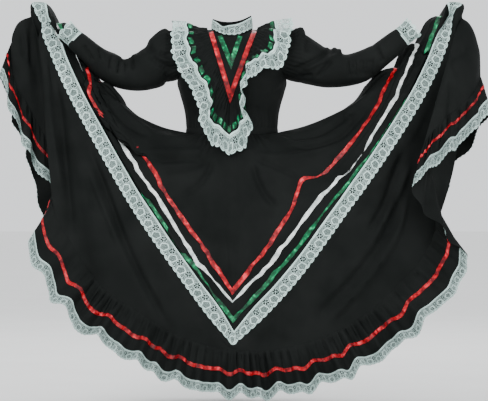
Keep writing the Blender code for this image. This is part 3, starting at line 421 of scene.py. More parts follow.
def v_line_points(line, around):
    """Points of a zigzag line at their places round the skirt."""
    points = np.empty((len(around), 3))
    for k, place in enumerate(around):
        right = place <= 0.5
        a = place if right else 1 - place
        side = 1 if right else -1
        shape = np.array(line.right if right else line.left, float)
        peak = np.array([shape[-1, 0], line.hand_depth, shape[-1, 1]])
        over = np.array(line.over_the_top, float) * (side, 1, 1)
        if PEAK_AROUND < a < SIDE_AROUND:
            points[k] = peak + over * (a - PEAK_AROUND) / (SIDE_AROUND - PEAK_AROUND)
            continue
        front = a <= PEAK_AROUND
        if front:
            far = (a - FRONT_FOLD_AROUND) / (PEAK_AROUND - FRONT_FOLD_AROUND)
            near = a / FRONT_FOLD_AROUND
        else:
            far = (BACK_FOLD_AROUND - a) / (BACK_FOLD_AROUND - SIDE_AROUND)
            near = (0.5 - a) / (0.5 - BACK_FOLD_AROUND)
        share = near * SHARE_AT_FOLD if far <= 0 else SHARE_AT_FOLD + (1 - SHARE_AT_FOLD) * far
        across, height = smooth_path(np.linspace(0, 1, len(shape)), shape, np.array([share]))[0]
        bend = math.cos(share * math.pi / 2)
        if front:
            points[k] = (across, peak[1] + (line.tip_depth - peak[1]) * bend, height)
        else:
            middle = (1 - share) * shape[0, 0]
            depth = peak[1] + over[1]
            points[k] = (
                across - middle + over[0] * share,
                depth + (line.back_depth - depth) * bend,
                height + line.back_rise * (1 - share) + over[2] * share,
            )
    return points


def hem_values(around):
    """Place, lean and bulge of the hem at places round the skirt."""
    points = numbers(HEM)
    values = smooth_path(points[:, 0] / 60, points[:, 1:], around, period=1.0)
    return values[:, :3], np.clip(values[:, 3:4], 0, 1), values[:, 4:]


def from_front(around):
    """How far round from the front middle a place is, either way."""
    return np.minimum(around, 1 - around)


def near_hand(around, middle, width, right, left):
    """A shift that is largest at one place beside each hand, where the cloth falls over it."""
    return bell(from_front(around), middle, width)[:, None] * np.where((around <= 0.5)[:, None], right, left)


def seam_points(around):
    """Where the flounce is sewn on: above the hem, towards the waist or towards the hand."""
    hem, leans, _ = hem_values(around)
    to_waist = unit(np.array([0, 0, SKIRT_TOP + LEAN_ABOVE]) - hem)
    to_hand = unit(v_line_points(V_LINES[-1], around) + near_hand(around, *HAND_SPREAD) - hem)
    return hem + unit(to_waist * leans + to_hand * (1 - leans)) * FLOUNCE_DEPTH


def edges_of_line(centre, normal, width):
    """Both edges of a strip along a closed line, mitred at its tips and level where it tops a hand."""
    before, after = np.roll(centre, 1, axis=0), np.roll(centre, -1, axis=0)
    first, second = unit(centre - before), unit(after - centre)
    across = unit(np.cross(first + second, normal))
    turn = np.clip(np.linalg.norm(first + second, axis=1) / 2, 0.6, 1)
    peak = COLUMNS_TO_FRONT_FOLD + COLUMNS_TO_PEAK
    for column in (peak, peak + 1, -peak, -peak - 1):
        across[column] = (np.sign(centre[column, 0]), 0, 0)
        turn[column] = 1
    if width > 2 * RIBBON_WIDTH:
        turn[:] = 1
    shift = across * (width / 2 / turn)[:, None]
    return centre - shift, centre + shift


def skirt_rows(around):
    """The named lines of the skirt from the waist to the flounce seam, at places round it."""
    waist = waist_ring(around, SKIRT_TOP)
    centres = [v_line_points(line, around) for line in V_LINES]
    seam = seam_points(around)
    _, _, bulge = hem_values(around)
    normal = normals_of(np.array([waist, *centres, seam]), around=True)
    strips = [edges_of_line(c, n, line.width) for c, n, line in zip(centres, normal[1:], V_LINES)]

    rows = [waist]
    side = bell(from_front(around), SIDE_AROUND, WEB_WIDTH)
    middle = np.cos(TURN * around) ** 2
    for share in WEB_SHARES:
        hang = 4 * share * (1 - share)
        row = waist + (strips[0][0] - waist) * share
        row[:, 2] -= WEB_SAG * hang * side
        row[:, 1] += np.where(waist[:, 1] < 0, -1, 1) * WEB_FULLNESS * hang * middle
        rows.append(row)
    for strip in strips:
        rows += strip
    last = strips[-1][1]
    room = np.clip(np.linalg.norm(seam - last, axis=1) / BULGE_ROOM, 0, 1)
    swell, rise = near_hand(around, *HAND_SWELL), near_hand(around, *HAND_RISE)
    for share, swollen, risen in DRAPE_ROWS:
        row = last + (seam - last) * share
        row[:, 0] += np.sign(seam[:, 0]) * room * bulge[:, 0] * math.sin(math.pi * share)
        row[:, 1] -= room * bulge[:, 1] * math.sin(math.pi * share) ** 0.7
        row += normal[-2] * (room * drape(around, share))[:, None]
        rows.append(row + (swell * swollen + rise * risen))
    return np.array([*rows, seam])


def drape(around, share):
    """Height of the long folds below the lace. Each fades out towards the middle and past the hand's fold."""
    near = from_front(around)
    total = np.zeros_like(around)
    for fold in DRAPE_FOLDS:
        is_side = (around <= 0.5) == (fold.side == "right")
        if fold.face == "front":
            from_middle = near / FRONT_FOLD_AROUND
        else:
            from_middle = (0.5 - near) / (0.5 - BACK_FOLD_AROUND)
        fade = np.clip(from_middle, 0, 1.0) ** 0.8 * np.clip((DRAPE_END - from_middle) / DRAPE_FADE, 0, 1)
        total += is_side * fade * fold.height * bell(share, fold.share, fold.width)
    return total


def shoulder_at(across):
    """Height of the shoulder line."""
    return SHOULDER_HEIGHT - SHOULDER_SLOPE * (np.abs(across) - NECK_HALF_WIDTH)


def share_at(across, height):
    """How far up from the waist to the shoulder a place is."""
    return (height - WAIST_HEIGHT) / (shoulder_at(across) - WAIST_HEIGHT)


def bodice_depth(across, height, face):
    """How far the bodice stands out at a place, negative at the front."""
    rings = numbers(BODICE)
    width, front, back = smooth_path(rings[:, 0], rings[:, 1:], np.ravel(share_at(across, height))).T
    reach = -front if face == "front" else back
    round_off = np.sqrt(np.clip(1 - (np.ravel(across) / width) ** 2, 0, 1))
    return (reach * round_off).reshape(np.shape(across))


def bodice_places(across, height, front):
    """Places on the bodice: on its front where front is true, on its back elsewhere."""
    depth = np.where(front, bodice_depth(across, height, "front"), bodice_depth(across, height, "back"))
    return as_places(across, depth, height)


def on_bodice(across, climb):
    """A point of the bodice and its direction. climb: 0 at the front waist, 1 on the shoulder, 2 behind."""

    def place(x, c):
        height = WAIST_HEIGHT + (shoulder_at(x) - WAIST_HEIGHT) * np.minimum(c, 2 - c)
        return bodice_places(x, height, c <= 1)

    step = 0.01
    up = place(across, climb + step) - place(across, climb - step)
    over = place(across + 1, climb) - place(across - 1, climb)
    return place(across, climb), unit(np.cross(over, up))


def panel_top(column, face):
    """Height of a panel's top edge: the neckline in the middle and the shoulder seam beside it."""
    across = SHOULDER_TIP * abs(column)
    drop = FRONT_NECK_DROP if face == "front" else BACK_NECK_DROP
    if across <= NECK_HALF_WIDTH + 0.5:
        return SHOULDER_HEIGHT - drop * (1 - (across / NECK_HALF_WIDTH) ** 2)
    return shoulder_at(across)


# Where the photograph shows a place

PIXEL = 3.5
PHOTO_ORIGIN = (232, 34)
CAMERA = (42, -7000, -583)


def seen_from_front(points):
    """Where points show in the photograph, in pixels from its upper left corner."""
    nearer = CAMERA[1] / (CAMERA[1] - points[..., 1])
    across = CAMERA[0] + (points[..., 0] - CAMERA[0]) * nearer
    height = CAMERA[2] + (points[..., 2] - CAMERA[2]) * nearer
    return PHOTO_ORIGIN[0] + across / PIXEL, PHOTO_ORIGIN[1] - height / PIXEL


# Creases

# The skirt's columns between which each of its faces lies
COLUMNS = 52
FACES = {
    "front right": (-0.5, 11.2),
    "inner right": (11.2, 14.3),
    "flop right": (14.8, 18.2),
    "back right": (18.2, 26.3),
    "back left": (25.7, 33.8),
    "flop left": (33.8, 37.2),
    "inner left": (37.7, 40.8),
    "front left": (40.8, 52.5),
}


# A crease is a soft trough (negative height) or ridge. seen holds its places in the photograph, in pixels.
Crease = namedtuple("Crease", "name seen width height")


def creases(*rows):
    return [Crease(*row) for row in rows]


# The skirt's creases, on each face
SKIRT_CREASES = {
    "front left": creases(
        ("edge ridge", ((44, 32), (49, 104), (64, 207)), 14, 9),
        ("edge valley", ((53, 64), (61, 128), (67, 183), (72, 250)), 16, -13),
        ("light band", ((72, 112), (80, 160), (90, 225)), 26, 9),
        ("long valley", ((83, 131), (102, 183), (128, 250), (156, 306), (174, 334)), 14, -13),
        ("long ridge", ((86, 160), (107, 215), (121, 250)), 11, 8),
        ("web upper trough", ((104, 99), (124, 121), (151, 137)), 10, -8),
        ("web ridge by trough", ((110, 95), (130, 117), (157, 134)), 10, 5),
        ("web middle trough", ((99, 123), (120, 137), (135, 153), (143, 155)), 11, -9),
        ("web ridge", ((143, 153), (183, 152), (212, 152)), 12, 8),
        ("web trough below", ((153, 161), (175, 160), (207, 159)), 9, -8),
        ("web low trough", ((159, 172), (183, 169), (212, 160)), 10, -7),
        ("web long fold", ((214, 156), (207, 174), (196, 187), (179, 195)), 11, -9),
    ),
    "front right": creases(
        ("web top trough", ((281, 140), (316, 134), (340, 121), (354, 112)), 9, -8),
        ("web pucker", ((343, 115), (354, 118)), 8, 6),
        ("web trough", ((285, 145), (311, 147), (333, 140), (346, 132), (372, 104)), 10, -9),
        ("web ridge", ((252, 154), (284, 157), (316, 152), (340, 144)), 12, 8),
        ("web thin crease", ((252, 157), (276, 167), (303, 180)), 8, -6),
        ("web strong fold", ((252, 159), (257, 179), (266, 196), (279, 209)), 12, -11),
        ("face light ridge", ((413, 159), (403, 183), (397, 199), (381, 226), (368, 250)), 10, 9),
        ("face dark valley", ((405, 150), (393, 180), (383, 207), (366, 234)), 12, -11),
        ("long valley", ((401, 181), (389, 228), (358, 274), (311, 324)), 16, -12),
        ("long streak", ((409, 188), (397, 234), (366, 281), (320, 330)), 11, 9),
        ("broad valley", ((355, 191), (343, 215), (340, 250)), 22, -8),
    ),
    "flop right": creases(
        ("trough", ((442, 83), (435, 96), (427, 115), (421, 132)), 10, -8),
        ("second trough", ((450, 73), (451, 96), (448, 131)), 10, -7),
        ("pucker", ((459, 40), (467, 48), (464, 56), (451, 61), (458, 75), (462, 88)), 7, -6),
    ),
    "inner right": creases(
        ("crease", ((443, 175), (447, 199), (440, 223)), 10, -8),
        ("ridge", ((411, 196), (435, 226), (451, 241)), 9, 6),
    ),
    "flop left": creases(
        ("crease", ((21, 29), (24, 60)), 8, -6),
        ("second crease", ((30, 24), (32, 70)), 8, -6),
    ),
    "inner left": creases(
        ("lower radial crease", ((41, 191), (51, 223)), 9, -7),
    ),
}

BODICE_CREASES = creases(
    ("right upright crease", ((257, 104), (263, 122), (266, 129)), 6, -4),
    ("right dart", ((270, 106), (271, 128)), 5, -3),
    ("right soft highlight", ((250, 84), (248, 108)), 11, 4),
    ("left upright crease", ((196, 110), (192, 130)), 7, -4),
    ("underarm right", ((286, 84), (272, 96)), 8, -4),
    ("underarm left", ((182, 86), (196, 98)), 8, -4),
)

ELBOW_GATHERS_AT = (348, 352, 355, 359, 362, 366, 369, 372)
SLEEVE_CREASES = {
    "left": creases(
        ("upper arm", ((143, 48), (159, 54), (174, 56)), 9, -6),
        ("upper arm second", ((147, 53), (161, 64), (177, 72)), 9, -6),
        ("upper arm ridge", ((150, 52), (164, 59), (178, 64)), 8, 4),
        ("elbow 1", ((99, 46), (102, 61)), 5, -4),
        ("elbow 2", ((112, 54), (110, 72)), 5, -4),
        ("elbow 3", ((120, 61), (118, 75)), 5, -5),
        ("elbow 4", ((126, 61), (126, 72)), 4, -4),
        ("elbow 5", ((132, 57), (134, 71)), 5, -4),
        ("forearm", ((84, 44), (94, 62)), 6, -4),
        ("puff top", ((149, 48), (156, 40), (163, 33), (169, 29)), 14, 9),
        ("elbow top", ((107, 53), (116, 58), (129, 59), (139, 53)), 8, 5),
    ),
    "right": creases(
        ("upper arm", ((289, 72), (311, 62), (336, 46)), 8, -6),
        ("upper arm ridge", ((301, 71), (343, 53)), 7, 4),
        ("upper arm low", ((316, 79), (333, 58)), 7, -5),
        ("underarm", ((297, 77), (314, 75)), 6, -4),
        ("forearm", ((375, 43), (384, 64)), 7, -5),
        ("puff fold", ((308, 38), (307, 54)), 8, -6),
        ("puff top", ((293, 29), (298, 31), (304, 36)), 12, 12),
        ("fold over the elbow", ((330, 49), (337, 51), (342, 55)), 7, 8),
        *((f"elbow {x}", ((x, 58), (x + 1, 78)), 4.5, -3.5) for x in ELBOW_GATHERS_AT),
    ),
}

# Flat folds of the skirt that lie over the trims below them, between two of the skirt's columns. The cloth is
# drawn out between two rows and folds back after a third, at a share of the way to a fourth. lift is how high
# it lies, in millimetres.
TUCKS = table(
    "name first last fade_in fade_out drawn_from drawn_to folds_after toward share lift",
    ("left white by the lace", 38.9, 41.3, 0.7, 0.35, 4.1, 5.0, 6.3, 9, 0.92, 11),
    ("left red nearer the lace", 40.5, 42.6, 0.7, 2.0, 2.0, 3.0, 4.3, 9, 0.55, 11),
    ("left red by the lace", 40.9, 44.1, 2.2, 0.35, 2.0, 3.0, 4.3, 9, 0.9, 11),
    ("left web over the red", 38.4, 41.2, 0.6, 0.3, 2.2, 2.8, 2.8, 5, 1.0, 15),
    ("left web over the trims", 43.6, 44.95, 0.3, 0.9, 2.2, 2.8, 2.8, 9, 1.0, 15),
    ("left green, upper", 40.2, 47.3, 0.5, 0.5, 6.0, 6.5, 6.5, 9, 0.94, 7),
    ("left green, lower", 48.1, 49.4, 0.4, 0.4, 6.0, 6.5, 6.5, 9, 0.9, 7),
    ("right green", 8.3, 10.7, 0.6, 0.4, 6.0, 6.5, 6.5, 9, 0.94, 7),
    ("right green by the lace", 5.0, 9.0, 0.4, 0.4, 6.3, 7.0, 8.1, 9, 0.8, 0),
    ("right white nearer the green", 5.9, 8.1, 0.35, 1.6, 4.3, 5.0, 6.1, 7, 0.6, 0),
    ("right red drawn up", 4.0, 6.45, 1.6, 1.1, 1.2, 2.9, 4.1, 5, -0.75, 0),
)
# Where a fold's lower layer lies, below its upper one: shares of its way back, and shares of the lift
TUCK_UNDER = ((0, 0.25, 0.8, 1), (1.0, 0.72, 0.66, 0.03))
LACE_ROW = 9
# For each ribbon's row: how far it strays from its line, in millimetres, and where its sway starts
RIBBON_STRAY = ((3, 4.0, 0.3), (5, 5.0, 2.1), (7, 4.0, 4.4))
CREASE_FADE = 0.22
FACE_FADE = 0.5
# The back has the front's creases, mirrored about the middle, moved by some pixels and a little softer
BEHIND = {"front left": "back right", "front right": "back left"}
BEHIND_SHIFT = (6, -5)
BEHIND_WIDER = 1.1
BEHIND_SOFTER = 0.9


def crease_height(crease, seen):
    """How far a crease moves the cloth at places of the photograph. It fades out at both ends."""
    path = np.array(crease.seen, float)
    if len(path) > 2:
        path = smooth_path(np.arange(len(path)), path, np.linspace(0, len(path) - 1, 6 * len(path)))
    length = run_length(path)
    x, y = seen
    nearest = np.full(x.shape, np.inf)
    along = np.zeros(x.shape)
    for k, (start, end) in enumerate(zip(path[:-1], path[1:])):
        run = end - start
        t = np.clip(((x - start[0]) * run[0] + (y - start[1]) * run[1]) / (run @ run), 0, 1)
        distance = np.hypot(x - start[0] - run[0] * t, y - start[1] - run[1] * t)
        closer = distance < nearest
        nearest = np.where(closer, distance, nearest)
        along = np.where(closer, length[k] + t * (length[k + 1] - length[k]), along)
    share = along / length[-1]
    fade = smooth_step(np.minimum(share, 1 - share) / CREASE_FADE)
    return crease.height * fade * bell(nearest * PIXEL, 0, crease.width)


def behind(crease):
    """The like crease of the back, behind the other hand."""
    right, down = BEHIND_SHIFT
    seen = [(2 * PHOTO_ORIGIN[0] - x + right, y + down) for x, y in crease.seen]
    return crease._replace(seen=seen, width=crease.width * BEHIND_WIDER, height=crease.height * BEHIND_SOFTER)


# Fine surfaces

# Finely sampled cloth: points, outward directions, and the rows and columns that they lie on
Surface = namedtuple("Surface", "points normals rows columns")


def surface_of(points, rows, columns, around=False):
    """A surface with its outward directions. One that runs around repeats its first column at its end."""
    if not around:
        return Surface(points, normals_of(points), rows, columns)
    points[:, -1] = points[:, 0]
    return Surface(points, closed_normals(points), rows, columns)


def steps_between(counts):
    """Places between whole numbers: counts[k] steps from k to k + 1."""
    return np.concatenate([k + np.arange(count) / count for k, count in enumerate(counts)] + [[len(counts)]])


def read(surface, rows, columns):
    """Points and directions of a surface at a grid of rows by columns, both given as grids or lists."""
    rows, columns = np.broadcast_arrays(rows, columns)
    i = np.clip(np.searchsorted(surface.rows, rows, side="right") - 1, 0, len(surface.rows) - 2)
    j = np.clip(np.searchsorted(surface.columns, columns, side="right") - 1, 0, len(surface.columns) - 2)
    s = ((rows - surface.rows[i]) / (surface.rows[i + 1] - surface.rows[i]))[..., None]
    t = ((columns - surface.columns[j]) / (surface.columns[j + 1] - surface.columns[j]))[..., None]
    found = []
    for values in (surface.points, surface.normals):
        upper = values[i, j] * (1 - t) + values[i, j + 1] * t
        lower = values[i + 1, j] * (1 - t) + values[i + 1, j + 1] * t
        found.append(upper * (1 - s) + lower * s)
    return found[0], unit(found[1])


def closed_normals(points):
    """Outward directions of a grid whose last column repeats its first."""
    normals = normals_of(points[:, :-1], around=True)
    return np.concatenate([normals, normals[:, :1]], axis=1)


def curve_at(points, at, closed=False):
    """A smooth curve through points, read at places counted in points. A closed one ends on its first."""
    length = run_length(points, least=1e-3)
    where = np.interp(at, np.arange(len(points)), length)
    if closed:
        return smooth_path(length[:-1], points[:-1], where, period=length[-1])
    return smooth_path(length, points, where)


# The skirt

ROW_STEPS = (14, 14, 20, 4, 7, 4, 10, 4, 6, 8, 8, 8, 9, 9)
COLUMN_STEPS_FRONT = 9
COLUMN_STEPS_SIDE = 8
POINTED_ROWS = range(3, 12)
WAIST_GATHERS = 62
WAIST_GATHER = 4.2
CALM_FRONT = 3.6
SKIRT_CREASED = 1.3
UNEVEN = 1.1
# Waves round the skirt: the size, how many, and the start
GATHER_SHIFT = ((0.9, 5, 0), (0.5, 11, 0))
GATHER_REACH = ((0.22, 9, 0), (0.12, 23, 0))


def skirt_column_steps():
    half = (
        [COLUMN_STEPS_FRONT] * COLUMNS_TO_FRONT_FOLD
        + [COLUMN_STEPS_SIDE] * (COLUMNS_TO_PEAK + 1 + COLUMNS_TO_BACK_FOLD)
        + [COLUMN_STEPS_FRONT] * COLUMNS_TO_BACK_MIDDLE
    )
    return half + half[::-1]


def skirt_surface():
    """The skirt from the waist to the flounce seam, with its creases and waist gathers."""
    columns = steps_between(skirt_column_steps())
    rows = steps_between(ROW_STEPS)
    middle = COLUMNS // 2
    across = []
    for k, row in enumerate(skirt_rows(skirt_columns())):
        row = np.concatenate([row, row[:1]])
        if k in POINTED_ROWS:
            first = curve_at(row[: middle + 1], columns[columns <= middle])
            second = curve_at(row[middle:], columns[columns > middle] - middle)
            across.append(np.concatenate([first, second]))
        else:
            across.append(curve_at(row, columns, closed=True))
    across = np.array(across)
    points = np.stack([curve_at(across[:, j], rows) for j in range(len(columns))], axis=1)
    points[:, -1] = points[:, 0]
    normals = closed_normals(points)
    height = skirt_creases(points, columns) + waist_gathers(rows, columns) + uneven(rows, columns)
    points = stray_ribbons(points + normals * height[..., None], rows, columns)
    return surface_of(fold_tucks(points, normals, rows, columns), rows, columns, around=True)


def row_at(points, rows, at):
    """The line of a grid at a place between its rows."""
    k = min(int(np.searchsorted(rows, at, side="right")) - 1, len(rows) - 2)
    share = (at - rows[k]) / (rows[k + 1] - rows[k])
    return points[k] * (1 - share) + points[k + 1] * share


def stray_ribbons(points, rows, columns):
    """Lets the ribbons run a little unevenly, each within the cloth beside it."""
    moved = points.copy()
    turn = TURN * columns / COLUMNS
    for row, size, start in RIBBON_STRAY:
        down = unit(row_at(points, rows, row + 1) - row_at(points, rows, row))
        sway = waves(turn, (1, 27, start), (0.6, 62, 2 * start), (0.4, 107, start))
        sway = sway * np.sin(13 * turn / 2) ** 2
        fade = window(rows, row - 0.9, row + 1.9, 0.8)
        moved += fade[:, None, None] * (down * (0.6 * size * sway)[:, None])
    return moved


def fold_tucks(points, normals, rows, columns):
    """Lays the flat folds over the trims. Their cloth follows the cloth below it, down each column."""
    step = np.linalg.norm(np.diff(points, axis=0), axis=2)
    length = np.concatenate([np.zeros((1, len(columns))), np.cumsum(step, axis=0)])
    shift = np.zeros(length.shape)
    lift = np.zeros(length.shape)
    for tuck in TUCKS:
        under = math.floor(tuck.folds_after) + 1
        amount = window(columns, tuck.first, tuck.last, tuck.fade_in, tuck.fade_out)
        reach = row_at(length, rows, tuck.toward) - row_at(length, rows, tuck.folds_after)
        drawn = smooth_step((rows - tuck.drawn_from) / (tuck.drawn_to - tuck.drawn_from))
        back = np.clip((rows - tuck.folds_after) / (under - tuck.folds_after), 0, 1)
        upper = rows <= tuck.folds_after
        rise = np.where(upper, drawn, np.interp(back, *TUCK_UNDER) * (back < 1))
        shift += np.where(upper, drawn, 1 - back)[:, None] * (reach * tuck.share * amount)
        lift = np.maximum(lift, tuck.lift * rise[:, None] * smooth_step(3 * amount))
    moved = points.copy()
    at_lace = np.searchsorted(rows, LACE_ROW)
    for k in np.nonzero(shift.any(axis=0))[0]:
        spot = length[:, k] + shift[:, k]
        spot = np.where(rows < LACE_ROW, np.minimum(spot, length[at_lace, k] - 1), spot)
        for axis in range(3):
            moved[:, k, axis] = np.interp(spot, length[:, k], points[:, k, axis])
            moved[:, k, axis] += np.interp(spot, length[:, k], normals[:, k, axis]) * lift[:, k]
    return moved


def skirt_creases(points, columns):
    """Heights of the creases listed for every face."""
    seen = seen_from_front(points)
    backs = {back: [behind(crease) for crease in SKIRT_CREASES[front]] for front, back in BEHIND.items()}
    total = np.zeros(points.shape[:2])
    for face, found in (SKIRT_CREASES | backs).items():
        inside = window(columns, *FACES[face], FACE_FADE)
        for crease in found:
            total += inside * crease_height(crease, seen)
    return total * SKIRT_CREASED


def waist_gathers(rows, columns):
    """Small pleats below the waistband, uneven in width and reach."""
    turn, down = TURN * columns / COLUMNS, rows[:, None]
    reach = 0.62 + waves(turn, *GATHER_REACH)
    calm = 0.85 * np.exp(-((np.minimum(columns, COLUMNS - columns) / CALM_FRONT) ** 4))
    fade = bell(down, 0, reach) * (0.3 + 0.7 * smooth_step(down / 0.12)) * (1 - calm)
    return WAIST_GATHER * fade * np.cos(WAIST_GATHERS * turn + TURN * waves(turn, *GATHER_SHIFT))


def uneven(rows, columns):
    """Broad faint swells, so that no stretch of cloth is quite even."""
    turn, down = TURN * columns / COLUMNS, rows[:, None]
    swell = waves(turn, (1, 9, 0.7 * down), (0.7, 17, 1.3 - 1.1 * down), (0.5, 31, 1.9 * down + 0.4))
    return UNEVEN * swell * smooth_step(down / 1.5)


# The flounce

WAVE_POINTS = 16
FLOUNCE_ROWS = 30
SEAM_GATHERS = 3.3
SEAM_GATHER = 4.6
FLOUNCE_CLOTH_END = 0.983
FLOUNCE_TUCK = (4.0, 1.7)
# How far the hem swings up and down in its own plane, the length of one step, and what makes the steps uneven
FLOUNCE_SWING = 10
FLOUNCE_STEP = 140
STEP_SHIFT = ((1.1, 5, 0), (0.7, 11, 1))
# At places in skirt columns: where the ribbon lies and where the lace starts, as shares of the flounce
RIBBON_SHIFT = (
    (0, 9, 12, 14.5, 19, 22, 37, 40, 43, 52),
    (0.06, 0.05, 0.0, -0.08, -0.17, -0.04, 0.0, 0.0, 0.05, 0.06),
)
LACE_STARTS = (
    (0, 10, 14, 19, 23, 33, 40, 43, 52),
    (0.78, 0.78, 0.68, 0.60, 0.76, 0.76, 0.70, 0.78, 0.78),
)
# Where the cloth's edge shows below the lace: its skirt columns, and how far it reaches down and forward
PLAIN_EDGE = (11.2, 14.2)
PLAIN_DOWN = 11
PLAIN_FORWARD = 3
FLOUNCE_RIBBON = (0.368, 0.45)
FLOUNCE_SEED = 7


def flounce_surface(skirt):
    """The gathered band below the skirt: one wave a skirt column, finer gathers at its seam."""
    columns = np.arange(COLUMNS * WAVE_POINTS + 1) / WAVE_POINTS
    around = np.interp(columns, np.arange(COLUMNS + 1), [*skirt_columns(), 1.0])
    seam, _ = read(skirt, skirt.rows[-1], columns)
    hem, _, _ = hem_values(around)
    run = unit(np.gradient(seam, axis=0))
    down = unit(hem - seam)
    down = unit(down - run * (down * run).sum(axis=1, keepdims=True))
    start = seam + down * FLOUNCE_GAP
    coarse = normals_of(np.array([seam[:-1:WAVE_POINTS], hem[:-1:WAVE_POINTS]]), around=True)[0]
    normal = unit(smooth_path(np.arange(COLUMNS), coarse, columns, period=COLUMNS))
    wave = fine_wave(columns, around, hem)
    swing = hem_swing(hem, around)
    turn = TURN * columns / COLUMNS
    phase = SEAM_GATHERS * columns + 0.4 * np.sin(7 * turn)
    gathers = np.cos(TURN * phase) + 0.45 * np.cos(TURN * (1.7 * phase + 0.2))
    gathers = SEAM_GATHER * gathers * (0.8 + 0.3 * np.sin(11 * turn))
    shares = np.linspace(0, 1, FLOUNCE_ROWS + 1)
    points = []
    for share in shares:
        flare = math.sin(share * math.pi / 2) * 0.7 + share * 0.3
        fine = bell(share, 0, 0.62) * (0.25 + 0.75 * min(1, share / 0.08))
        row = start + (hem - start) * share + normal * (wave * flare + gathers * fine)[:, None]
        points.append(row + down * (swing * share**0.7)[:, None])
    return surface_of(np.array(points), shares, columns, around=True)


def calm_at(around):
    """How much of the flounce's waves is left at places round the skirt, less where it turns over itself."""
    return 1 - sum(place.share * bell(from_front(around), place.around, place.width) for place in CALM_PLACES)


def hem_swing(hem, around):
    """Uneven steps of the hem up and down where the gathered band folds over on itself, in millimetres."""
    along = run_length(hem)
    turn = TURN * along / along[-1]
    phase = turn * round(along[-1] / FLOUNCE_STEP) + waves(turn, *STEP_SHIFT)
    size = (0.85 + 0.3 * np.sin(7 * turn + 0.5)) * (0.85 + 0.6 * bell(from_front(around), 0.13, 0.06))
    step = np.sin(phase) + 0.3 * np.sin(2 * phase + 0.4)
    return -FLOUNCE_SWING * np.clip(calm_at(around), 0, 1) * size * step


def fine_wave(columns, around, hem):
    """Height of the flounce's waves at the hem, uneven and calmer where the skirt turns over itself."""
    random = np.random.default_rng(FLOUNCE_SEED)
    size = 1 + 0.24 * random.uniform(-1, 1, COLUMNS)
    shift = 0.09 * random.uniform(-1, 1, COLUMNS)
    size, shift = smooth_path(np.arange(COLUMNS), as_places(size, shift), columns, period=COLUMNS).T
    phase = TURN * (columns + shift)
    wave = FLOUNCE_WAVE * calm_at(around) * size * (np.cos(phase) + 0.14 * np.cos(2 * phase))
    ring = hem[:-1]
    room = np.linalg.norm(np.roll(ring, -WAVE_POINTS, axis=0) - np.roll(ring, WAVE_POINTS, axis=0), axis=1)
    most = 0.15 * np.append(room, room[0])
    return np.clip(wave, -most, most)


# The bodice, the collar and the sleeves

PANEL_STEPS = 44
PANEL_ROW_STEPS = 64
SLEEVE_POINTS = 120
SLEEVE_ROWS = 84
SLEEVE_CAP_ROWS = 12
ARMHOLE_GATHERS = 34
ARMHOLE_GATHER = 3.2
SLEEVE_CAP_DIP = 3.6
SLEEVE_CREASED = 1.8
SLEEVE_SWELL = 1.4
# The far side of a sleeve has the near side's creases, moved by some pixels and softer
FAR_SIDE_SHIFT = (5, 3)
FAR_SIDE_SOFTER = 0.8
CLOTH_UNDER_CUFF = 0.76
WAIST_PLEATS = 13
WAIST_PLEAT = 1.6
COLLAR_POINTS = 120
COLLAR_ROWS = 13
COLLAR_SWELL = 1.6
COLLAR_DIP = -9
COLLAR_DIP_AT = (-34, 16)


def panel_edge(at):
    """How far a bodice panel's side edge lies from the middle."""
    rows = np.array(PANEL_ROWS, float)
    return smooth_path(rows[:, 0], rows[:, 1:], np.atleast_1d(at))[:, 0]


def panel_surface(face, low, high):
    """A bodice panel from column low to column high (1 is its right edge), rows from the shoulder down."""
    columns = np.linspace(low, high, int(PANEL_STEPS * abs(high - low)) + 1)
    shares = np.linspace(1, 0, PANEL_ROW_STEPS + 1)
    tops = np.array([panel_top(c, face) for c in columns])
    height = WAIST_HEIGHT + (tops - WAIST_HEIGHT) * shares[:, None]
    across = panel_edge(shares)[:, None] * columns
    points = as_places(across, bodice_depth(across, height, face), height)
    x, y = seen_from_front(points)
    if face == "back":
        x = 2 * PHOTO_ORIGIN[0] - x
    lift = sum(crease_height(crease, (x, y)) for crease in BODICE_CREASES)
    lift = lift + WAIST_PLEAT * np.cos(TURN * WAIST_PLEATS * columns) * bell(shares[:, None], 0, 0.10)
    lift = lift * smooth_step((1 - np.abs(columns)) / 0.06) * smooth_step((1 - shares) / 0.05)[:, None]
    points = points + normals_of(points) * lift[..., None]
    return surface_of(points, np.linspace(0, 1, len(shares)), np.linspace(0, 1, len(columns)))


def armhole_at(turn, side):
    """Places of the armhole's edge, from the underarm up the leading side and down the other."""
    shares = [share for share, _ in PANEL_ROWS[UNDERARM_ROW:]]
    climb = np.minimum(turn, 1 - turn) * 2 * (len(shares) - 1)
    share = np.interp(climb, np.arange(len(shares)), shares)
    height = WAIST_HEIGHT + (shoulder_at(SHOULDER_TIP) - WAIST_HEIGHT) * share
    return bodice_places(side * panel_edge(share), height, (turn <= 0.5) == (side > 0))


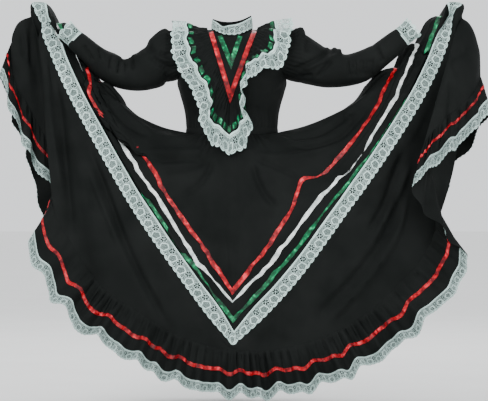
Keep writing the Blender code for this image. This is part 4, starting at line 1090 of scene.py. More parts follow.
def sleeve_rings(rows, side, turn):
    """A plain sleeve: a cap that grows out of the armhole, then rings down to the cuff."""
    stations = np.linspace(0, len(rows) - 1, SLEEVE_ROWS)
    values = smooth_path(np.arange(len(rows)), numbers(rows), stations)
    centres, heights, depths = values[:, :3], values[:, 3], values[:, 4]
    path = unit(np.gradient(centres, axis=0) * (1, 0, 1))
    level = np.clip(1 - stations / 1.4, 0, 1)[:, None]
    path = unit(path * (1 - level) + np.array([side, 0, 0]) * level)
    up = as_places(-path[:, 2], 0, path[:, 0]) * side
    angle = TURN * turn
    rings = centres[:, None] - up[:, None] * heights[:, None, None] * np.cos(angle)[:, None]
    rings[:, :, 1] -= depths[:, None] * np.sin(angle) * side
    loop = armhole_at(turn, side) + (side * SLEEVE_GAP, 0, 0)
    cap = []
    for share in np.linspace(0, 1, SLEEVE_CAP_ROWS, endpoint=False):
        grown = 0.35 * share + 0.65 * math.sin(share * math.pi / 2)
        dip = SLEEVE_CAP_DIP * math.sin(math.pi * share)
        cap.append(loop + (rings[0] - loop) * grown - (side * dip, 0, 0))
    return np.concatenate([cap, rings])


def sleeve_lift(points, normals, side, turn):
    """Heights of a sleeve's creases, of the gathers at its armhole and of its soft swells."""
    x, y = seen_from_front(points)
    right, down = FAR_SIDE_SHIFT
    facing = smooth_step(0.5 - normals[..., 1] * 1.2)
    lift = np.zeros(points.shape[:2])
    for crease in SLEEVE_CREASES["right" if side > 0 else "left"]:
        lift += crease_height(crease, (x, y)) * facing
        lift += crease_height(crease, (x + right, y + down)) * (1 - facing) * FAR_SIDE_SOFTER
    row = np.arange(len(points))[:, None] / SLEEVE_CAP_ROWS
    size = ARMHOLE_GATHER * (0.45 + 0.55 * smooth_step(1 - np.abs(turn - 0.5) * 2.2))
    gathers = size * np.cos(TURN * (ARMHOLE_GATHERS * turn + 0.3 * np.sin(TURN * 3 * turn)))
    swells = SLEEVE_SWELL * np.sin(TURN * (2 * turn + row * 0.45))
    lift = lift * SLEEVE_CREASED + gathers * (bell(row, 0, 1.25) * smooth_step(row / 0.25))
    lift = lift + swells * smooth_step(row / 2)
    return lift * smooth_step((row[-1] - row) * SLEEVE_CAP_ROWS / 5)


def sleeve_surface(rows, side):
    """A sleeve from the armhole to the cuff, gathered at the armhole and wrinkled at the elbow."""
    turn = np.linspace(0, 1, SLEEVE_POINTS + 1)
    points = sleeve_rings(rows, side, turn)
    points[:, -1] = points[:, 0]
    normals = closed_normals(points)
    points = points + normals * sleeve_lift(points, normals, side, turn)[..., None]
    return surface_of(points, np.linspace(0, 1, len(points)), turn, around=True)


def swollen_ring(top, low, rows, swell, turn):
    """A band that runs around between two lines and swells a little between them."""
    shares = np.linspace(0, 1, rows)
    points = np.array([top + (low - top) * share for share in shares])
    points = points + closed_normals(points) * (swell * np.sin(math.pi * shares))[:, None, None]
    return surface_of(points, shares, turn, around=True)


def collar_surface():
    """The stand collar, rows from its wavy top edge to its foot."""
    turn = np.linspace(0, 1, COLLAR_POINTS + 1)
    across = NECK_HALF_WIDTH * np.sin(TURN * turn)
    front = np.cos(TURN * turn) >= 0
    drop = np.where(front, FRONT_NECK_DROP, BACK_NECK_DROP) * (1 - (across / NECK_HALF_WIDTH) ** 2)
    low = bodice_places(across, SHOULDER_HEIGHT - drop, front) + (0, 0, COLLAR_GAP)
    top = low + (0, -COLLAR_LEAN, COLLAR_HEIGHT)
    top[:, 0] *= COLLAR_TAPER
    top[:, 2] += COLLAR_RISE * across / NECK_HALF_WIDTH + COLLAR_DIP * bell(across, *COLLAR_DIP_AT) * front
    return swollen_ring(top, low, COLLAR_ROWS, COLLAR_SWELL, turn)


# The V ruffle

RUFFLE_POINTS = 14
RUFFLE_CLOTH_ROWS = 18
RUFFLE_LACE_ROWS = 10
RUFFLE_SWELL = 4
RUFFLE_GATHER = 2.2
RUFFLE_WAVE = 8.5
RUFFLE_LACE_WAVE = 12
RUFFLE_STRAY = 5.0
RUFFLE_CRINKLE = 0.9
# The ruffle's ribbon is threaded: its stitches are short near the front tip and longer beyond
THREAD_PERIODS = (26, 47)
THREAD_CHANGE = 115
THREAD_DEPTH = 1.7


def ruffle_lines(rows):
    """The line that a half is sewn on along, its cloth edge and its lace edge, evenly sampled."""
    shoulder = [row.name for row in rows].index("shoulder")
    sewn = []
    for k, row in enumerate(rows):
        share = share_at(*row.sewn)
        sewn.append((row.sewn[0], share if k < shoulder else 1.0 if k == shoulder else 2 - share))
    edge, lace = [row.edge for row in rows], [row.lace for row in rows]
    length = run_length(np.array(edge, float))
    at = np.linspace(0, length[-1], RUFFLE_WAVES * RUFFLE_POINTS + 1)
    return [smooth_path(length, line, at) for line in (sewn, edge, lace)]


def ruffle_surface(rows, side):
    """A half of the V ruffle: rows 0 to 1 are its cloth and rows 1 to 2 its lace."""
    sewn, edge, lace = ruffle_lines(rows)
    start, outward = on_bodice(sewn[:, 0], sewn[:, 1])
    start = start + outward * (RUFFLE_OFF + RUFFLE_SHOULDER_OFF * bell(sewn[:, 1], 1, 0.06)[:, None])
    part = np.arange(len(edge)) / RUFFLE_POINTS
    turn = TURN * part
    ends = smooth_step(np.minimum(part, RUFFLE_WAVES - part) / 0.5)
    wave = ends * (np.cos(turn) + 0.2 * np.cos(2 * turn + 1)) * (1 + 0.35 * np.sin(1.7 * part + 0.6))
    stray = ends * waves(turn, (1, 0.83, 0.5), (0.6, 1.9, 2.0))
    edge = edge + unit(lace - edge) * (RUFFLE_STRAY * 0.7 * stray)[:, None]
    lace = lace + unit(lace - edge) * (RUFFLE_STRAY * 0.5 * np.roll(stray, 5) * ends)[:, None]
    gather = ends * RUFFLE_GATHER * np.cos(3.4 * turn)
    _, middle, low = normals_of(np.array([start, edge, lace]))
    points = []
    cloth = np.linspace(0, 1, RUFFLE_CLOTH_ROWS, endpoint=False)
    for share in cloth:
        crinkle = waves(turn, (1, 2.7, 2.2 * TURN * share), (1, 1.6, 1 - 3.1 * TURN * share))
        swell = (RUFFLE_SWELL + ends * RUFFLE_CRINKLE * crinkle) * math.sin(math.pi * share)
        lift = wave * RUFFLE_WAVE * share**1.5 + swell + gather * (1 - share)
        points.append(start + (edge - start) * share + middle * lift[:, None])
    hang = np.linspace(0, 1, RUFFLE_LACE_ROWS + 1)
    for share in hang:
        facing = unit(middle * (1 - share) + low * share)
        size = RUFFLE_WAVE + (RUFFLE_LACE_WAVE - RUFFLE_WAVE) * share
        points.append(edge + (lace - edge) * share + facing * (wave * size)[:, None])
    points = np.array(points)[:, ::side]
    return surface_of(points, np.concatenate([cloth, 1 + hang]), np.linspace(0, 1, len(part)))


# Meshes

SHARP_ANGLE = 60


def shell(name, outer, inner, finish, uv, around):
    """A closed thin shell between two grids. One that runs around repeats its first column."""
    rows, columns = outer.shape[:2]
    kept = columns - 1 if around else columns
    points = np.concatenate([grid[:, :kept].reshape(-1, 3) for grid in (outer, inner)]) * MM
    near = np.arange(rows)[:, None] * kept + np.arange(columns) % kept
    far = near + rows * kept
    spot = np.arange(rows * columns).reshape(rows, columns)
    most, rest, top, foot = slice(None, -1), slice(1, None), slice(0, 1), slice(-1, None)
    sides = [
        ((near, most, most), (near, rest, most), (near, rest, rest), (near, most, rest)),
        ((far, most, most), (far, most, rest), (far, rest, rest), (far, rest, most)),
        ((near, top, most), (near, top, rest), (far, top, rest), (far, top, most)),
        ((far, foot, most), (far, foot, rest), (near, foot, rest), (near, foot, most)),
    ]
    if not around:
        sides += [
            ((far, most, top), (far, rest, top), (near, rest, top), (near, most, top)),
            ((near, most, foot), (near, rest, foot), (far, rest, foot), (far, most, foot)),
        ]
    quads = np.concatenate([np.stack([grid[i, j].ravel() for grid, i, j in side], axis=1) for side in sides])
    corners = np.concatenate([np.stack([spot[i, j].ravel() for _, i, j in side], axis=1) for side in sides])
    return mesh_piece(name, points, quads, uv.reshape(-1, 2)[corners.ravel()], finish)


def mesh_piece(name, points, quads, uv, finish):
    mesh = bpy.data.meshes.new(name)
    mesh.vertices.add(len(points))
    mesh.vertices.foreach_set("co", points.astype(np.float32).ravel())
    mesh.loops.add(quads.size)
    mesh.loops.foreach_set("vertex_index", quads.astype(np.int32).ravel())
    mesh.polygons.add(len(quads))
    mesh.polygons.foreach_set("loop_start", np.arange(0, quads.size, 4, dtype=np.int32))
    mesh.update(calc_edges=True)
    mesh.uv_layers.new(name="UVMap").data.foreach_set("uv", uv.astype(np.float32).ravel())
    mesh.materials.append(finish)
    mesh.shade_smooth()
    mesh.set_sharp_from_angle(angle=math.radians(SHARP_ANGLE))
    return add_object(name, mesh)


def add_object(name, data):
    made = bpy.data.objects.new(name, data)
    bpy.context.scene.collection.objects.link(made)
    return made


def flat_uv(points):
    """UVs in metres along and across a grid, measured on its own cloth."""
    along = np.linalg.norm(np.diff(points, axis=1), axis=2).mean(axis=0)
    down = np.linalg.norm(np.diff(points, axis=0), axis=2).mean(axis=1)
    u, v = (np.concatenate([[0], np.cumsum(steps)]) for steps in (along, down))
    return as_places(u, v[:, None]) * MM


def repeat_uv(points, repeat, whole):
    """UVs for a strip: repeats along it, a whole number of them if it runs around, and 0 to 1 across it."""
    u = run_length(points[len(points) // 2]) / repeat
    if whole:
        u *= round(u[-1]) / u[-1]
    return as_places(u, np.linspace(0, 1, len(points))[:, None])


def cloth_area(points):
    """Area of a grid in square metres."""
    return sum(np.linalg.norm(cross, axis=-1) for cross in crosses(points)).sum() / 2 * MM * MM


# Materials

THREAD = 0.0011
LACE_HOLE_EDGE = 0.012
# The lace's pattern: heights and sizes are shares of its width, and counts are those of one repeat
FLOWER_HEIGHT = 0.36
PETALS = 6.0
LEAF_HEIGHT = 0.60
LEAF_LOBES = 5.0
LEAF_NET = 9
EDGE_HOLES = 11
PAIR_HEIGHT = 0.77
PAIR_APART = 0.07
PAIR_SIZE = 0.042
FOOT_HOLES = 10
GROUND_NET = 15


class Pattern:
    """Builds a material's numbers from node to node."""

    def __init__(self, name):
        self.material = bpy.data.materials.new(name)
        self.material.use_nodes = True
        self.tree = self.material.node_tree
        self.shader = self.tree.nodes["Principled BSDF"]

    def node(self, kind, **settings):
        made = self.tree.nodes.new(kind)
        for key, value in settings.items():
            setattr(made, key, value)
        return made

    def link(self, value, socket):
        if isinstance(value, bpy.types.NodeSocket):
            self.tree.links.new(value, socket)
        else:
            socket.default_value = value

    def do(self, operation, *values):
        made = self.node("ShaderNodeMath", operation=operation)
        for value, socket in zip(values, made.inputs):
            self.link(value, socket)
        return made.outputs[0]

    def add(self, a, b):
        return self.do("ADD", a, b)

    def times(self, a, b):
        return self.do("MULTIPLY", a, b)

    def most(self, *values):
        found = values[0]
        for value in values[1:]:
            found = self.do("MAXIMUM", found, value)
        return found

    def wave(self, x, cycles):
        return self.do("COSINE", self.times(x, TURN * cycles))

    def above(self, value, limit, soft=LACE_HOLE_EDGE):
        """1 where a value is over the limit, 0 below it, with a soft edge."""
        made = self.node("ShaderNodeMapRange", clamp=True)
        self.link(value, made.inputs["Value"])
        made.inputs["From Min"].default_value = limit - soft
        made.inputs["From Max"].default_value = limit + soft
        return made.outputs["Result"]

    def below(self, value, limit, soft=LACE_HOLE_EDGE):
        return self.do("SUBTRACT", 1.0, self.above(value, limit, soft))

    def uv(self):
        parts = self.node("ShaderNodeSeparateXYZ")
        where = self.node("ShaderNodeUVMap", uv_map="UVMap")
        self.tree.links.new(where.outputs["UV"], parts.inputs["Vector"])
        return parts.outputs["X"], parts.outputs["Y"]

    def noise(self, scale, detail=3.0):
        made = self.node("ShaderNodeTexNoise")
        made.inputs["Scale"].default_value = scale
        made.inputs["Detail"].default_value = detail
        where = self.node("ShaderNodeTexCoord")
        self.tree.links.new(where.outputs["Object"], made.inputs["Vector"])
        return made.outputs["Fac"]

    def colours(self, factor, *stops):
        ramp = self.node("ShaderNodeValToRGB")
        while len(ramp.color_ramp.elements) < len(stops):
            ramp.color_ramp.elements.new(0.5)
        for element, (place, colour) in zip(ramp.color_ramp.elements, stops):
            element.position = place
            element.color = (*colour, 1)
        self.link(factor, ramp.inputs["Fac"])
        self.tree.links.new(ramp.outputs["Color"], self.shader.inputs["Base Color"])

    def bump(self, height, distance, strength=1.0):
        made = self.node("ShaderNodeBump")
        made.inputs["Distance"].default_value = distance
        made.inputs["Strength"].default_value = strength
        self.link(height, made.inputs["Height"])
        self.tree.links.new(made.outputs["Normal"], self.shader.inputs["Normal"])

    def set(self, **values):
        for key, value in values.items():
            self.shader.inputs[key.replace("_", " ").title().replace("Ior", "IOR")].default_value = value


def cloth_material():
    """Black plain-woven cloth with a faint sheen, on UVs in metres."""
    made = Pattern("black_cloth")
    u, v = made.uv()
    weave = made.times(made.wave(u, 1 / THREAD), made.wave(v, 1 / THREAD))
    made.colours(made.noise(9.0), (0.3, (0.0066, 0.0076, 0.0072)), (0.7, (0.0104, 0.0116, 0.0111)))
    made.bump(made.add(made.times(weave, 0.5), made.times(made.noise(160.0, 2.0), 0.6)), 0.00025, 0.6)
    made.set(roughness=0.6, specular_ior_level=0.02)
    return made.material


def satin_material(name, dark, light, painted_highlight, roughness):
    """Satin ribbon with fine cross ribs and a stitched line near both edges, with painted shade and painted
    highlights in its colour.
    """
    made = Pattern(name)
    u, v = made.uv()
    ribs = made.wave(u, 26)
    edge = made.do("ABSOLUTE", made.add(v, -0.5))
    stitched = made.times(made.above(edge, 0.39), made.below(edge, 0.43))
    stitches = made.times(stitched, made.above(made.wave(u, 7), -0.2))
    # The noise paints dark patches of shade, the ribbon's own colour and bright patches of highlight into the
    # base colour, standing in for light on crumpled satin.
    made.colours(made.noise(58.0, 2.0), (0.36, dark), (0.56, light), (0.72, painted_highlight))
    made.bump(made.add(made.times(ribs, 0.25), made.times(stitches, -2.0)), 0.00022)
    made.set(roughness=roughness, specular_ior_level=0.22)
    return made.material


def lace_material(name, dark, light):
    """Openwork lace on UVs of repeats by width: flowers, net leaves, scallops and a fine net ground."""
    made = Pattern(name)
    do, add, times, most = made.do, made.add, made.times, made.most
    above, below, wave = made.above, made.below, made.wave
    u, v = made.uv()
    cell = add(do("FRACT", u), -0.5)
    other = add(do("FRACT", add(u, 0.5)), -0.5)
    rise = add(v, -FLOWER_HEIGHT)
    reach = do("SQRT", add(times(cell, cell), times(rise, rise)))
    petals = do("COSINE", times(do("ARCTAN2", rise, cell), PETALS))
    ring = do("ABSOLUTE", add(reach, -0.12))
    flower_holes = times(below(ring, 0.088), above(petals, -0.86, 0.12))
    flower = below(add(reach, times(petals, -0.012)), 0.225)

    fall = add(v, -LEAF_HEIGHT)
    spread = add(times(times(other, other), 17.0), times(times(fall, fall), 21.0))
    lobes = do("COSINE", times(do("ARCTAN2", fall, other), LEAF_LOBES))
    slope = add(spread, times(lobes, 0.16))
    leaf = below(slope, 0.92, 0.05)
    net = times(wave(add(u, v), LEAF_NET), wave(add(u, times(v, -1.0)), LEAF_NET))
    net_holes = times(leaf, above(net, -0.4, 0.1))
    cord = times(below(slope, 1.5, 0.06), above(slope, 0.92, 0.05))

    lobe = do("POWER", do("ABSOLUTE", do("SINE", times(u, TURN))), 0.6)
    limit = do("MULTIPLY_ADD", lobe, 0.15, 0.85)
    inset = do("SUBTRACT", limit, v)
    inside = above(inset, 0.0)
    border = times(inside, below(inset, 0.17))
    row = times(above(inset, 0.06), below(inset, 0.12))
    edge_holes = times(row, above(wave(u, EDGE_HOLES), -0.2, 0.15))
    low = do("ABSOLUTE", add(v, -PAIR_HEIGHT))
    pair = do("ABSOLUTE", add(do("ABSOLUTE", cell), -PAIR_APART))
    pair_holes = below(do("SQRT", add(times(low, low), times(pair, pair))), PAIR_SIZE)
    foot = times(above(v, 0.055), below(v, 0.10))
    foot_holes = times(foot, above(wave(u, FOOT_HOLES), 0.1, 0.15))
    selvedge = below(v, 0.13)

    solid = most(flower, cord, border, selvedge)
    ground = times(wave(u, GROUND_NET), wave(v, GROUND_NET))
    ground_holes = times(above(ground, -0.3, 0.1), do("SUBTRACT", 1.0, most(solid, leaf)))
    holes = most(flower_holes, net_holes, edge_holes, pair_holes, foot_holes, ground_holes)
    made.link(times(inside, do("SUBTRACT", 1.0, holes)), made.shader.inputs["Alpha"])
    made.colours(made.noise(30.0), (0.3, dark), (0.7, light))
    made.bump(add(times(solid, 0.9), times(made.noise(500.0, 2.0), 0.5)), 0.0006)
    made.set(roughness=0.8, sheen_weight=0.1, specular_ior_level=0.3)
    return made.material


FINISHES = {
    "cloth": cloth_material(),
    "lace": lace_material("white_lace", (0.46, 0.63, 0.59), (0.64, 0.83, 0.79)),
    # The lace at the hem is a darker copy of the white lace: painted shade for the shadow it hangs in.
    "shaded hem lace": lace_material("hem_lace", (0.37, 0.50, 0.47), (0.50, 0.65, 0.62)),
    # For each ribbon: the painted shade, its own colour, then the painted highlight.
    "red": satin_material("red_ribbon", (0.09, 0.0, 0.003), (0.40, 0.003, 0.008), (0.86, 0.05, 0.07), 0.28),
    "green": satin_material("green_ribbon", (0.0, 0.024, 0.01), (0.0, 0.13, 0.046), (0.02, 0.52, 0.21), 0.28),
    "white": satin_material("white_ribbon", (0.42, 0.47, 0.46), (0.72, 0.76, 0.74), (0.9, 0.93, 0.92), 0.36),
}


# Pieces

# Thickness of the cloth, and where the trims lie over it, in millimetres
THIN = 1.0
TRIM_LIFT = 0.5
TRIM_THIN = 0.6
PANEL_FILL = 1.25
# Widths that the pieces are cut at, in metres
SKIRT_CUT = 1.45
FLOUNCE_CUT = 0.18
WAISTBAND_CUT = 0.028
BODICE_FRONT_CUT = 0.42
BODICE_BACK_CUT = 0.21
COLLAR_CUT = 0.045
SLEEVE_CUT = 0.46
RUFFLE_CUT = 0.11
RIBBON_CUT = 0.018
SKIRT_LACE_CUT = 0.055
HEM_LACE_CUT = 0.045
COLLAR_LACE_CUT = 0.038
WIDE_LACE_CUT = 0.06
# How finely the pieces are sampled, and their small shapes
RIBBON_ROWS = 5
YOKE_LIFT = 0.9
YOKE_STEPS = 48
LACE_ROWS = 9
CUFF_ROWS = 11
CUFF_WAVES = 9
CUFF_WAVE = 2.2
CUFF_OVERLAP = 0.3
WAISTBAND_POINTS = 120
WAISTBAND_ROWS = 7
WAISTBAND_SWELL = 1.5


def add_piece(node, kind, outer, inner, finish, uv, around, flat, held, rests_on, **area):
    """Builds a piece, named after the node that it replaces, and hides that node."""
    made = shell(f"{node}_{kind}", outer, inner, FINISHES[finish], uv, around)
    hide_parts(node)
    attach(made, "root")


def panel(node, points, normals, cut, held, rests_on=(), around=False):
    """A cloth piece from its outer side. Its cut is a little larger than its area."""
    area = cloth_area(points)
    flat = (cut, area * PANEL_FILL / cut)
    inner = points - normals * THIN
    uv, on = flat_uv(points), list(rests_on)
    add_piece(node, "cloth", points, inner, "cloth", uv, around, flat, held, on, area=area)


def trim(node, surface, rows, finish, cut, on, repeat=None, around=True, ripple=0.0, thread=None):
    """A ribbon or lace strip that lies on a surface, or a ribbon that is threaded through it."""
    points, normals = read(surface, rows if rows.ndim == 2 else rows[:, None], surface.columns)
    uv = repeat_uv(points, repeat or cut / MM, around)
    lift = ripple * ribbon_ripple(uv[..., 0])[..., None] if thread is None else thread[None, :, None]
    inner = points + normals * (TRIM_LIFT + lift)
    outer = inner + normals * TRIM_THIN
    flat = (cut, cloth_area(points) / cut)
    add_piece(node, "strip", outer, inner, finish, uv, around, flat, "stretched", [on])


def ribbon_ripple(u):
    """A ribbon's small rise and fall along its run, from 0 to 1."""
    return 0.5 + 0.28 * np.sin(u * 2.9 + 0.6 * np.sin(u * 0.7)) + 0.22 * np.sin(u * 7.3 + 1.1)


# The length of a repeat of the lace in millimetres, on the wide laces and on the narrow ones
LACE_REPEAT = 48
NARROW_LACE_REPEAT = 36
RIBBON_RIPPLE = 1.6
FLOUNCE_RIBBON_RIPPLE = 1.0
# How much of its width each ribbon shows on average, as it curls a little
RIBBON_SPREAD = {"red": 0.88, "white": 0.78, "green": 0.86}
# Where a ribbon is curled up thin: places in skirt columns, and how far it reaches
THIN_PLACES = {
    "red": ((6.1, 0.15),),
    "white": ((0, 0.4), (50.9, 0.35), (52, 0.4)),
    "green": ((4.4, 0.45), (50.6, 0.5)),
}
# The waver of a ribbon's width: size, how many in a skirt column, and the shift from one ribbon to the next
RIBBON_WAVER = ((0.16, 0.42, 0.3), (0.12, 1.13, 0.6))


def halves(columns):
    """The columns of the skirt's front and of its back, which meet behind the peaks."""
    side = COLUMNS_TO_FRONT_FOLD + COLUMNS_TO_PEAK + 1
    left = columns[columns >= COLUMNS - side][:-1] - COLUMNS
    front = np.concatenate([left, columns[columns <= side]])
    return ("front", front), ("back", columns[(columns >= side) & (columns <= COLUMNS - side)])


def ribbon_width(name, k, columns):
    """The share of its width that ribbon number k of the skirt shows, at each column."""
    waver = sum(size * np.sin(TURN * (count * columns + shift * k)) for size, count, shift in RIBBON_WAVER)
    width = np.clip(RIBBON_SPREAD[name] + waver, 0.45, 1)
    for middle, reach in THIN_PLACES[name]:
        width = width * (1 - 0.7 * bell(columns, middle, reach))
    return width


def build_skirt(skirt):
    for half, columns in halves(skirt.columns):
        points, normals = read(skirt, skirt.rows[:, None], columns % COLUMNS)
        panel(f"skirt_{half}", points, normals, SKIRT_CUT, "gathered", ["waistband_cloth"])
    for k, line in enumerate(V_LINES):
        low = FIRST_V_ROW + 2 * k
        if line.name == "lace":
            rows = np.linspace(low, low + 1, LACE_ROWS)
            trim("skirt_lace", skirt, rows, "lace", SKIRT_LACE_CUT, "skirt_front_cloth", LACE_REPEAT)
        else:
            spread = np.linspace(-0.5, 0.5, RIBBON_ROWS)[:, None] * ribbon_width(line.name, k, skirt.columns)
            node, rows = f"skirt_ribbon_{line.name}", low + 0.5 + spread
            trim(node, skirt, rows, line.name, RIBBON_CUT, "skirt_front_cloth", ripple=RIBBON_RIPPLE)


def build_flounce(flounce):
    """The gathered band, tucked in at its seam, with its ribbon and the lace at the hem."""
    cloth_rows = np.append(flounce.rows[flounce.rows < FLOUNCE_CLOTH_END], FLOUNCE_CLOTH_END)
    tuck_up, tuck_in = FLOUNCE_TUCK
    for half, columns in halves(flounce.columns):
        points, normals = read(flounce, cloth_rows[:, None], columns % COLUMNS)
        tucked = points[:1] - unit(points[1:2] - points[:1]) * tuck_up - normals[:1] * tuck_in
        plain = window(columns, *PLAIN_EDGE, 0.4)
        rolled = points[-1:] + unit(points[-1:] - points[-2:-1]) * (0.5 + PLAIN_DOWN * plain)[:, None]
        rolled[0, :, 1] -= PLAIN_FORWARD * plain
        points = np.concatenate([tucked, points, rolled])
        normals = np.concatenate([normals[:1], normals, normals[-1:]])
        panel(f"flounce_{half}", points, normals, FLOUNCE_CUT, "gathered", [f"skirt_{half}_cloth"])
    rows = np.linspace(*FLOUNCE_RIBBON, RIBBON_ROWS)[:, None] + np.interp(flounce.columns, *RIBBON_SHIFT)
    on = "flounce_front_cloth"
    trim("flounce_ribbon", flounce, rows, "red", RIBBON_CUT, on, ripple=FLOUNCE_RIBBON_RIPPLE)
    starts = np.interp(flounce.columns, *LACE_STARTS)
    rows = starts + (1 - starts) * np.linspace(0, 1, LACE_ROWS)[:, None]
    # The lace at the hem takes the darker copy of the lace, which is painted shade.
    trim("hem_lace", flounce, rows, "shaded hem lace", HEM_LACE_CUT, on, NARROW_LACE_REPEAT)


def build_waistband():
    turn = np.linspace(0, 1, WAISTBAND_POINTS + 1)
    top, low = waist_ring(turn, WAIST_HEIGHT), waist_ring(turn, SKIRT_TOP)
    band = swollen_ring(top, low, WAISTBAND_ROWS, WAISTBAND_SWELL, turn)
    panel("waistband", band.points, band.normals, WAISTBAND_CUT, "stretched", around=True)


def build_bodice():
    for node, face, low, high, cut in (
        ("bodice_front", "front", -1, 1, BODICE_FRONT_CUT),
        ("bodice_back_right", "back", 1, 0, BODICE_BACK_CUT),
        ("bodice_back_left", "back", 0, -1, BODICE_BACK_CUT),
    ):
        surface = panel_surface(face, low, high)
        panel(node, surface.points, surface.normals, cut, "stretched")


def build_sleeves():
    for name, rings, side in (("right", RIGHT_SLEEVE, 1), ("left", LEFT_SLEEVE, -1)):
        sleeve = sleeve_surface(rings, side)
        end, before = sleeve.points[-1], sleeve.points[-8]
        run = unit(end[:-1].mean(axis=0) - before[:-1].mean(axis=0)) * CUFF_LACE
        facing = unit(end - end[:-1].mean(axis=0))
        hidden = [end + run * share - facing * 0.4 for share in np.linspace(0.1, CLOTH_UNDER_CUFF, 8)]
        points = np.concatenate([sleeve.points, hidden])
        panel(f"sleeve_{name}", points, closed_normals(points), SLEEVE_CUT, "gathered", around=True)
        build_cuff_lace(name, end, run, facing, sleeve.columns)


def build_cuff_lace(name, end, run, facing, turn):
    """The lace that stands out a little from a sleeve's end."""
    shares = np.linspace(0, 1, CUFF_ROWS)
    wave = CUFF_WAVE * np.cos(TURN * CUFF_WAVES * turn)
    points = []
    for share in shares:
        flare = CUFF_LACE_FLARE * share**2 + wave * share**1.5
        points.append(end + run * ((1 + CUFF_OVERLAP) * share - CUFF_OVERLAP) + facing * flare[:, None])
    cuff = surface_of(np.array(points), shares, turn, around=True)
    trim(f"cuff_lace_{name}", cuff, cuff.rows, "lace", WIDE_LACE_CUT, f"sleeve_{name}_cloth", LACE_REPEAT)


def build_collar():
    collar = collar_surface()
    panel("collar", collar.points, collar.normals, COLLAR_CUT, "stretched", around=True)
    rows = np.linspace(*COLLAR_LACE_SHARES, LACE_ROWS)
    trim("collar_lace", collar, rows, "lace", COLLAR_LACE_CUT, "collar_cloth", NARROW_LACE_REPEAT)


def build_yoke():
    """Two Vs of ribbon on the front of the bodice, mitred at their tips."""
    steps = np.linspace(0, 1, YOKE_STEPS)[:, None]
    counts = (YOKE_STEPS - 1, 1, YOKE_STEPS - 1)
    for colour, ends in YOKE_VS.items():
        left, tip, right = np.array(ends, float)
        line = np.concatenate([left + (tip - left) * steps, tip + (right - tip) * steps[1:]])
        first, second = unit(tip - left), unit(right - tip)
        mitre = unit(first + second)
        along = np.repeat([first, mitre, second], counts, axis=0)
        width = RIBBON_WIDTH * np.repeat([1, 1 / (first @ mitre), 1], counts)
        across = as_places(-along[:, 1], along[:, 0]) * width[:, None]
        places = np.array([line + across * share for share in np.linspace(0.5, -0.5, RIBBON_ROWS)])
        x, height = places[..., 0], places[..., 1]
        points = as_places(x, bodice_depth(x, height, "front"), height)
        normals = normals_of(points)
        uv = repeat_uv(points, RIBBON_WIDTH, False)
        inner = points + normals * YOKE_LIFT
        outer = inner + normals * TRIM_THIN
        area = cloth_area(points)
        node, flat, on = f"yoke_ribbon_{colour}", (RIBBON_CUT, area / RIBBON_CUT), ["bodice_front_cloth"]
        add_piece(node, "strip", outer, inner, colour, uv, False, flat, "stretched", on, area=area)


def ribbon_thread(along):
    """Height of the ruffle's ribbon as it goes through the cloth, at lengths from the front tip."""
    close, apart = THREAD_PERIODS
    phase = np.minimum(along, THREAD_CHANGE) / close + np.maximum(along - THREAD_CHANGE, 0) / apart
    return THREAD_DEPTH * np.clip(1.8 * np.cos(TURN * phase) + 0.6, -1, 1) - THREAD_DEPTH / 2


def build_ruffles():
    for name, stations, side in (("right", RIGHT_RUFFLE, 1), ("left", LEFT_RUFFLE, -1)):
        ruffle = ruffle_surface(stations, side)
        rows = ruffle.rows[ruffle.rows <= 1.0]
        points, normals = read(ruffle, rows[:, None], ruffle.columns)
        panel(f"ruffle_{name}", points, normals, RUFFLE_CUT, "gathered", ["bodice_front_cloth"])
        from_tip = ruffle.columns if side > 0 else 1 - ruffle.columns
        thread = ribbon_thread(from_tip * run_length(points[len(rows) * 3 // 4])[-1])
        node, on = f"ruffle_ribbon_{name}", f"ruffle_{name}_cloth"
        ribbon = np.linspace(*RUFFLE_RIBBON, RIBBON_ROWS)
        trim(node, ruffle, ribbon, "green", RIBBON_CUT, on, around=False, thread=thread)
        lace = np.concatenate([[0.9], np.linspace(1, 2, RUFFLE_LACE_ROWS + 1)])
        trim(f"ruffle_lace_{name}", ruffle, lace, "lace", WIDE_LACE_CUT, on, LACE_REPEAT, around=False)


# The studio

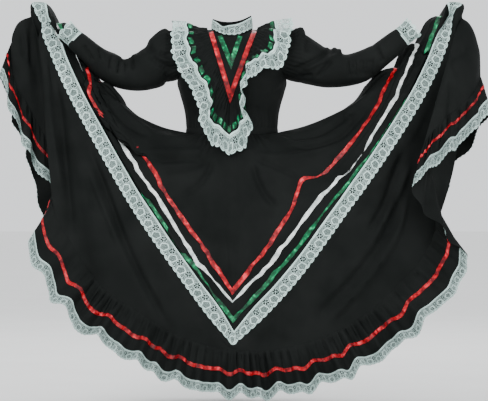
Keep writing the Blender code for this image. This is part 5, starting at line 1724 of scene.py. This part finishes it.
FLOOR_HEIGHT = -1.31
FLOOR_REACH = 40
AIM = (0, 0, -0.55)
LIGHTS = table(
    "name spot size power",
    ("key", (-2.4, -4.2, 2.2), 2.2, 190),
    ("fill", (3.2, -3.4, 0.6), 2.6, 90),
    ("back", (0.5, 3.2, 2.4), 2.6, 70),
)
LENS = 147.5
SENSOR = 36


def build_floor():
    mesh = bpy.data.meshes.new("floor")
    signs = ((-1, -1), (1, -1), (1, 1), (-1, 1))
    corners = [(x * FLOOR_REACH, y * FLOOR_REACH, FLOOR_HEIGHT) for x, y in signs]
    mesh.from_pydata(corners, [], [(0, 1, 2, 3)])
    pale = Pattern("pale_floor")
    pale.colours(pale.noise(3.0), (0.3, (0.86, 0.86, 0.85)), (0.7, (0.89, 0.89, 0.88)))
    pale.set(roughness=0.9)
    mesh.materials.append(pale.material)
    add_object("floor", mesh)


def build_studio():
    """Pale floor, soft light, and a camera where the photograph was taken from."""
    build_floor()
    scene = bpy.context.scene
    world = bpy.data.worlds.new("studio")
    world.use_nodes = True
    sky = world.node_tree.nodes["Background"]
    sky.inputs["Color"].default_value = (0.93, 0.95, 0.97, 1)
    sky.inputs["Strength"].default_value = 1.35
    scene.world = world

    for row in LIGHTS:
        light = bpy.data.lights.new(row.name, "AREA")
        light.size = row.size
        light.energy = row.power
        lamp = add_object(row.name, light)
        lamp.location = row.spot
        x, y, z = np.subtract(AIM, row.spot)
        lamp.rotation_euler = (math.atan2(math.hypot(x, y), -z), 0, math.atan2(-x, y))

    lens = bpy.data.cameras.new("camera")
    lens.lens = LENS
    lens.sensor_width = SENSOR
    camera = add_object("camera", lens)
    camera.location = [c * MM for c in CAMERA]
    camera.rotation_euler = (math.pi / 2, 0, 0)
    scene.camera = camera


def main():
    build_waistband()
    skirt = skirt_surface()
    build_skirt(skirt)
    build_flounce(flounce_surface(skirt))
    build_bodice()
    build_sleeves()
    build_collar()
    build_yoke()
    build_ruffles()
    build_studio()
    bpy.context.view_layer.update()


main()
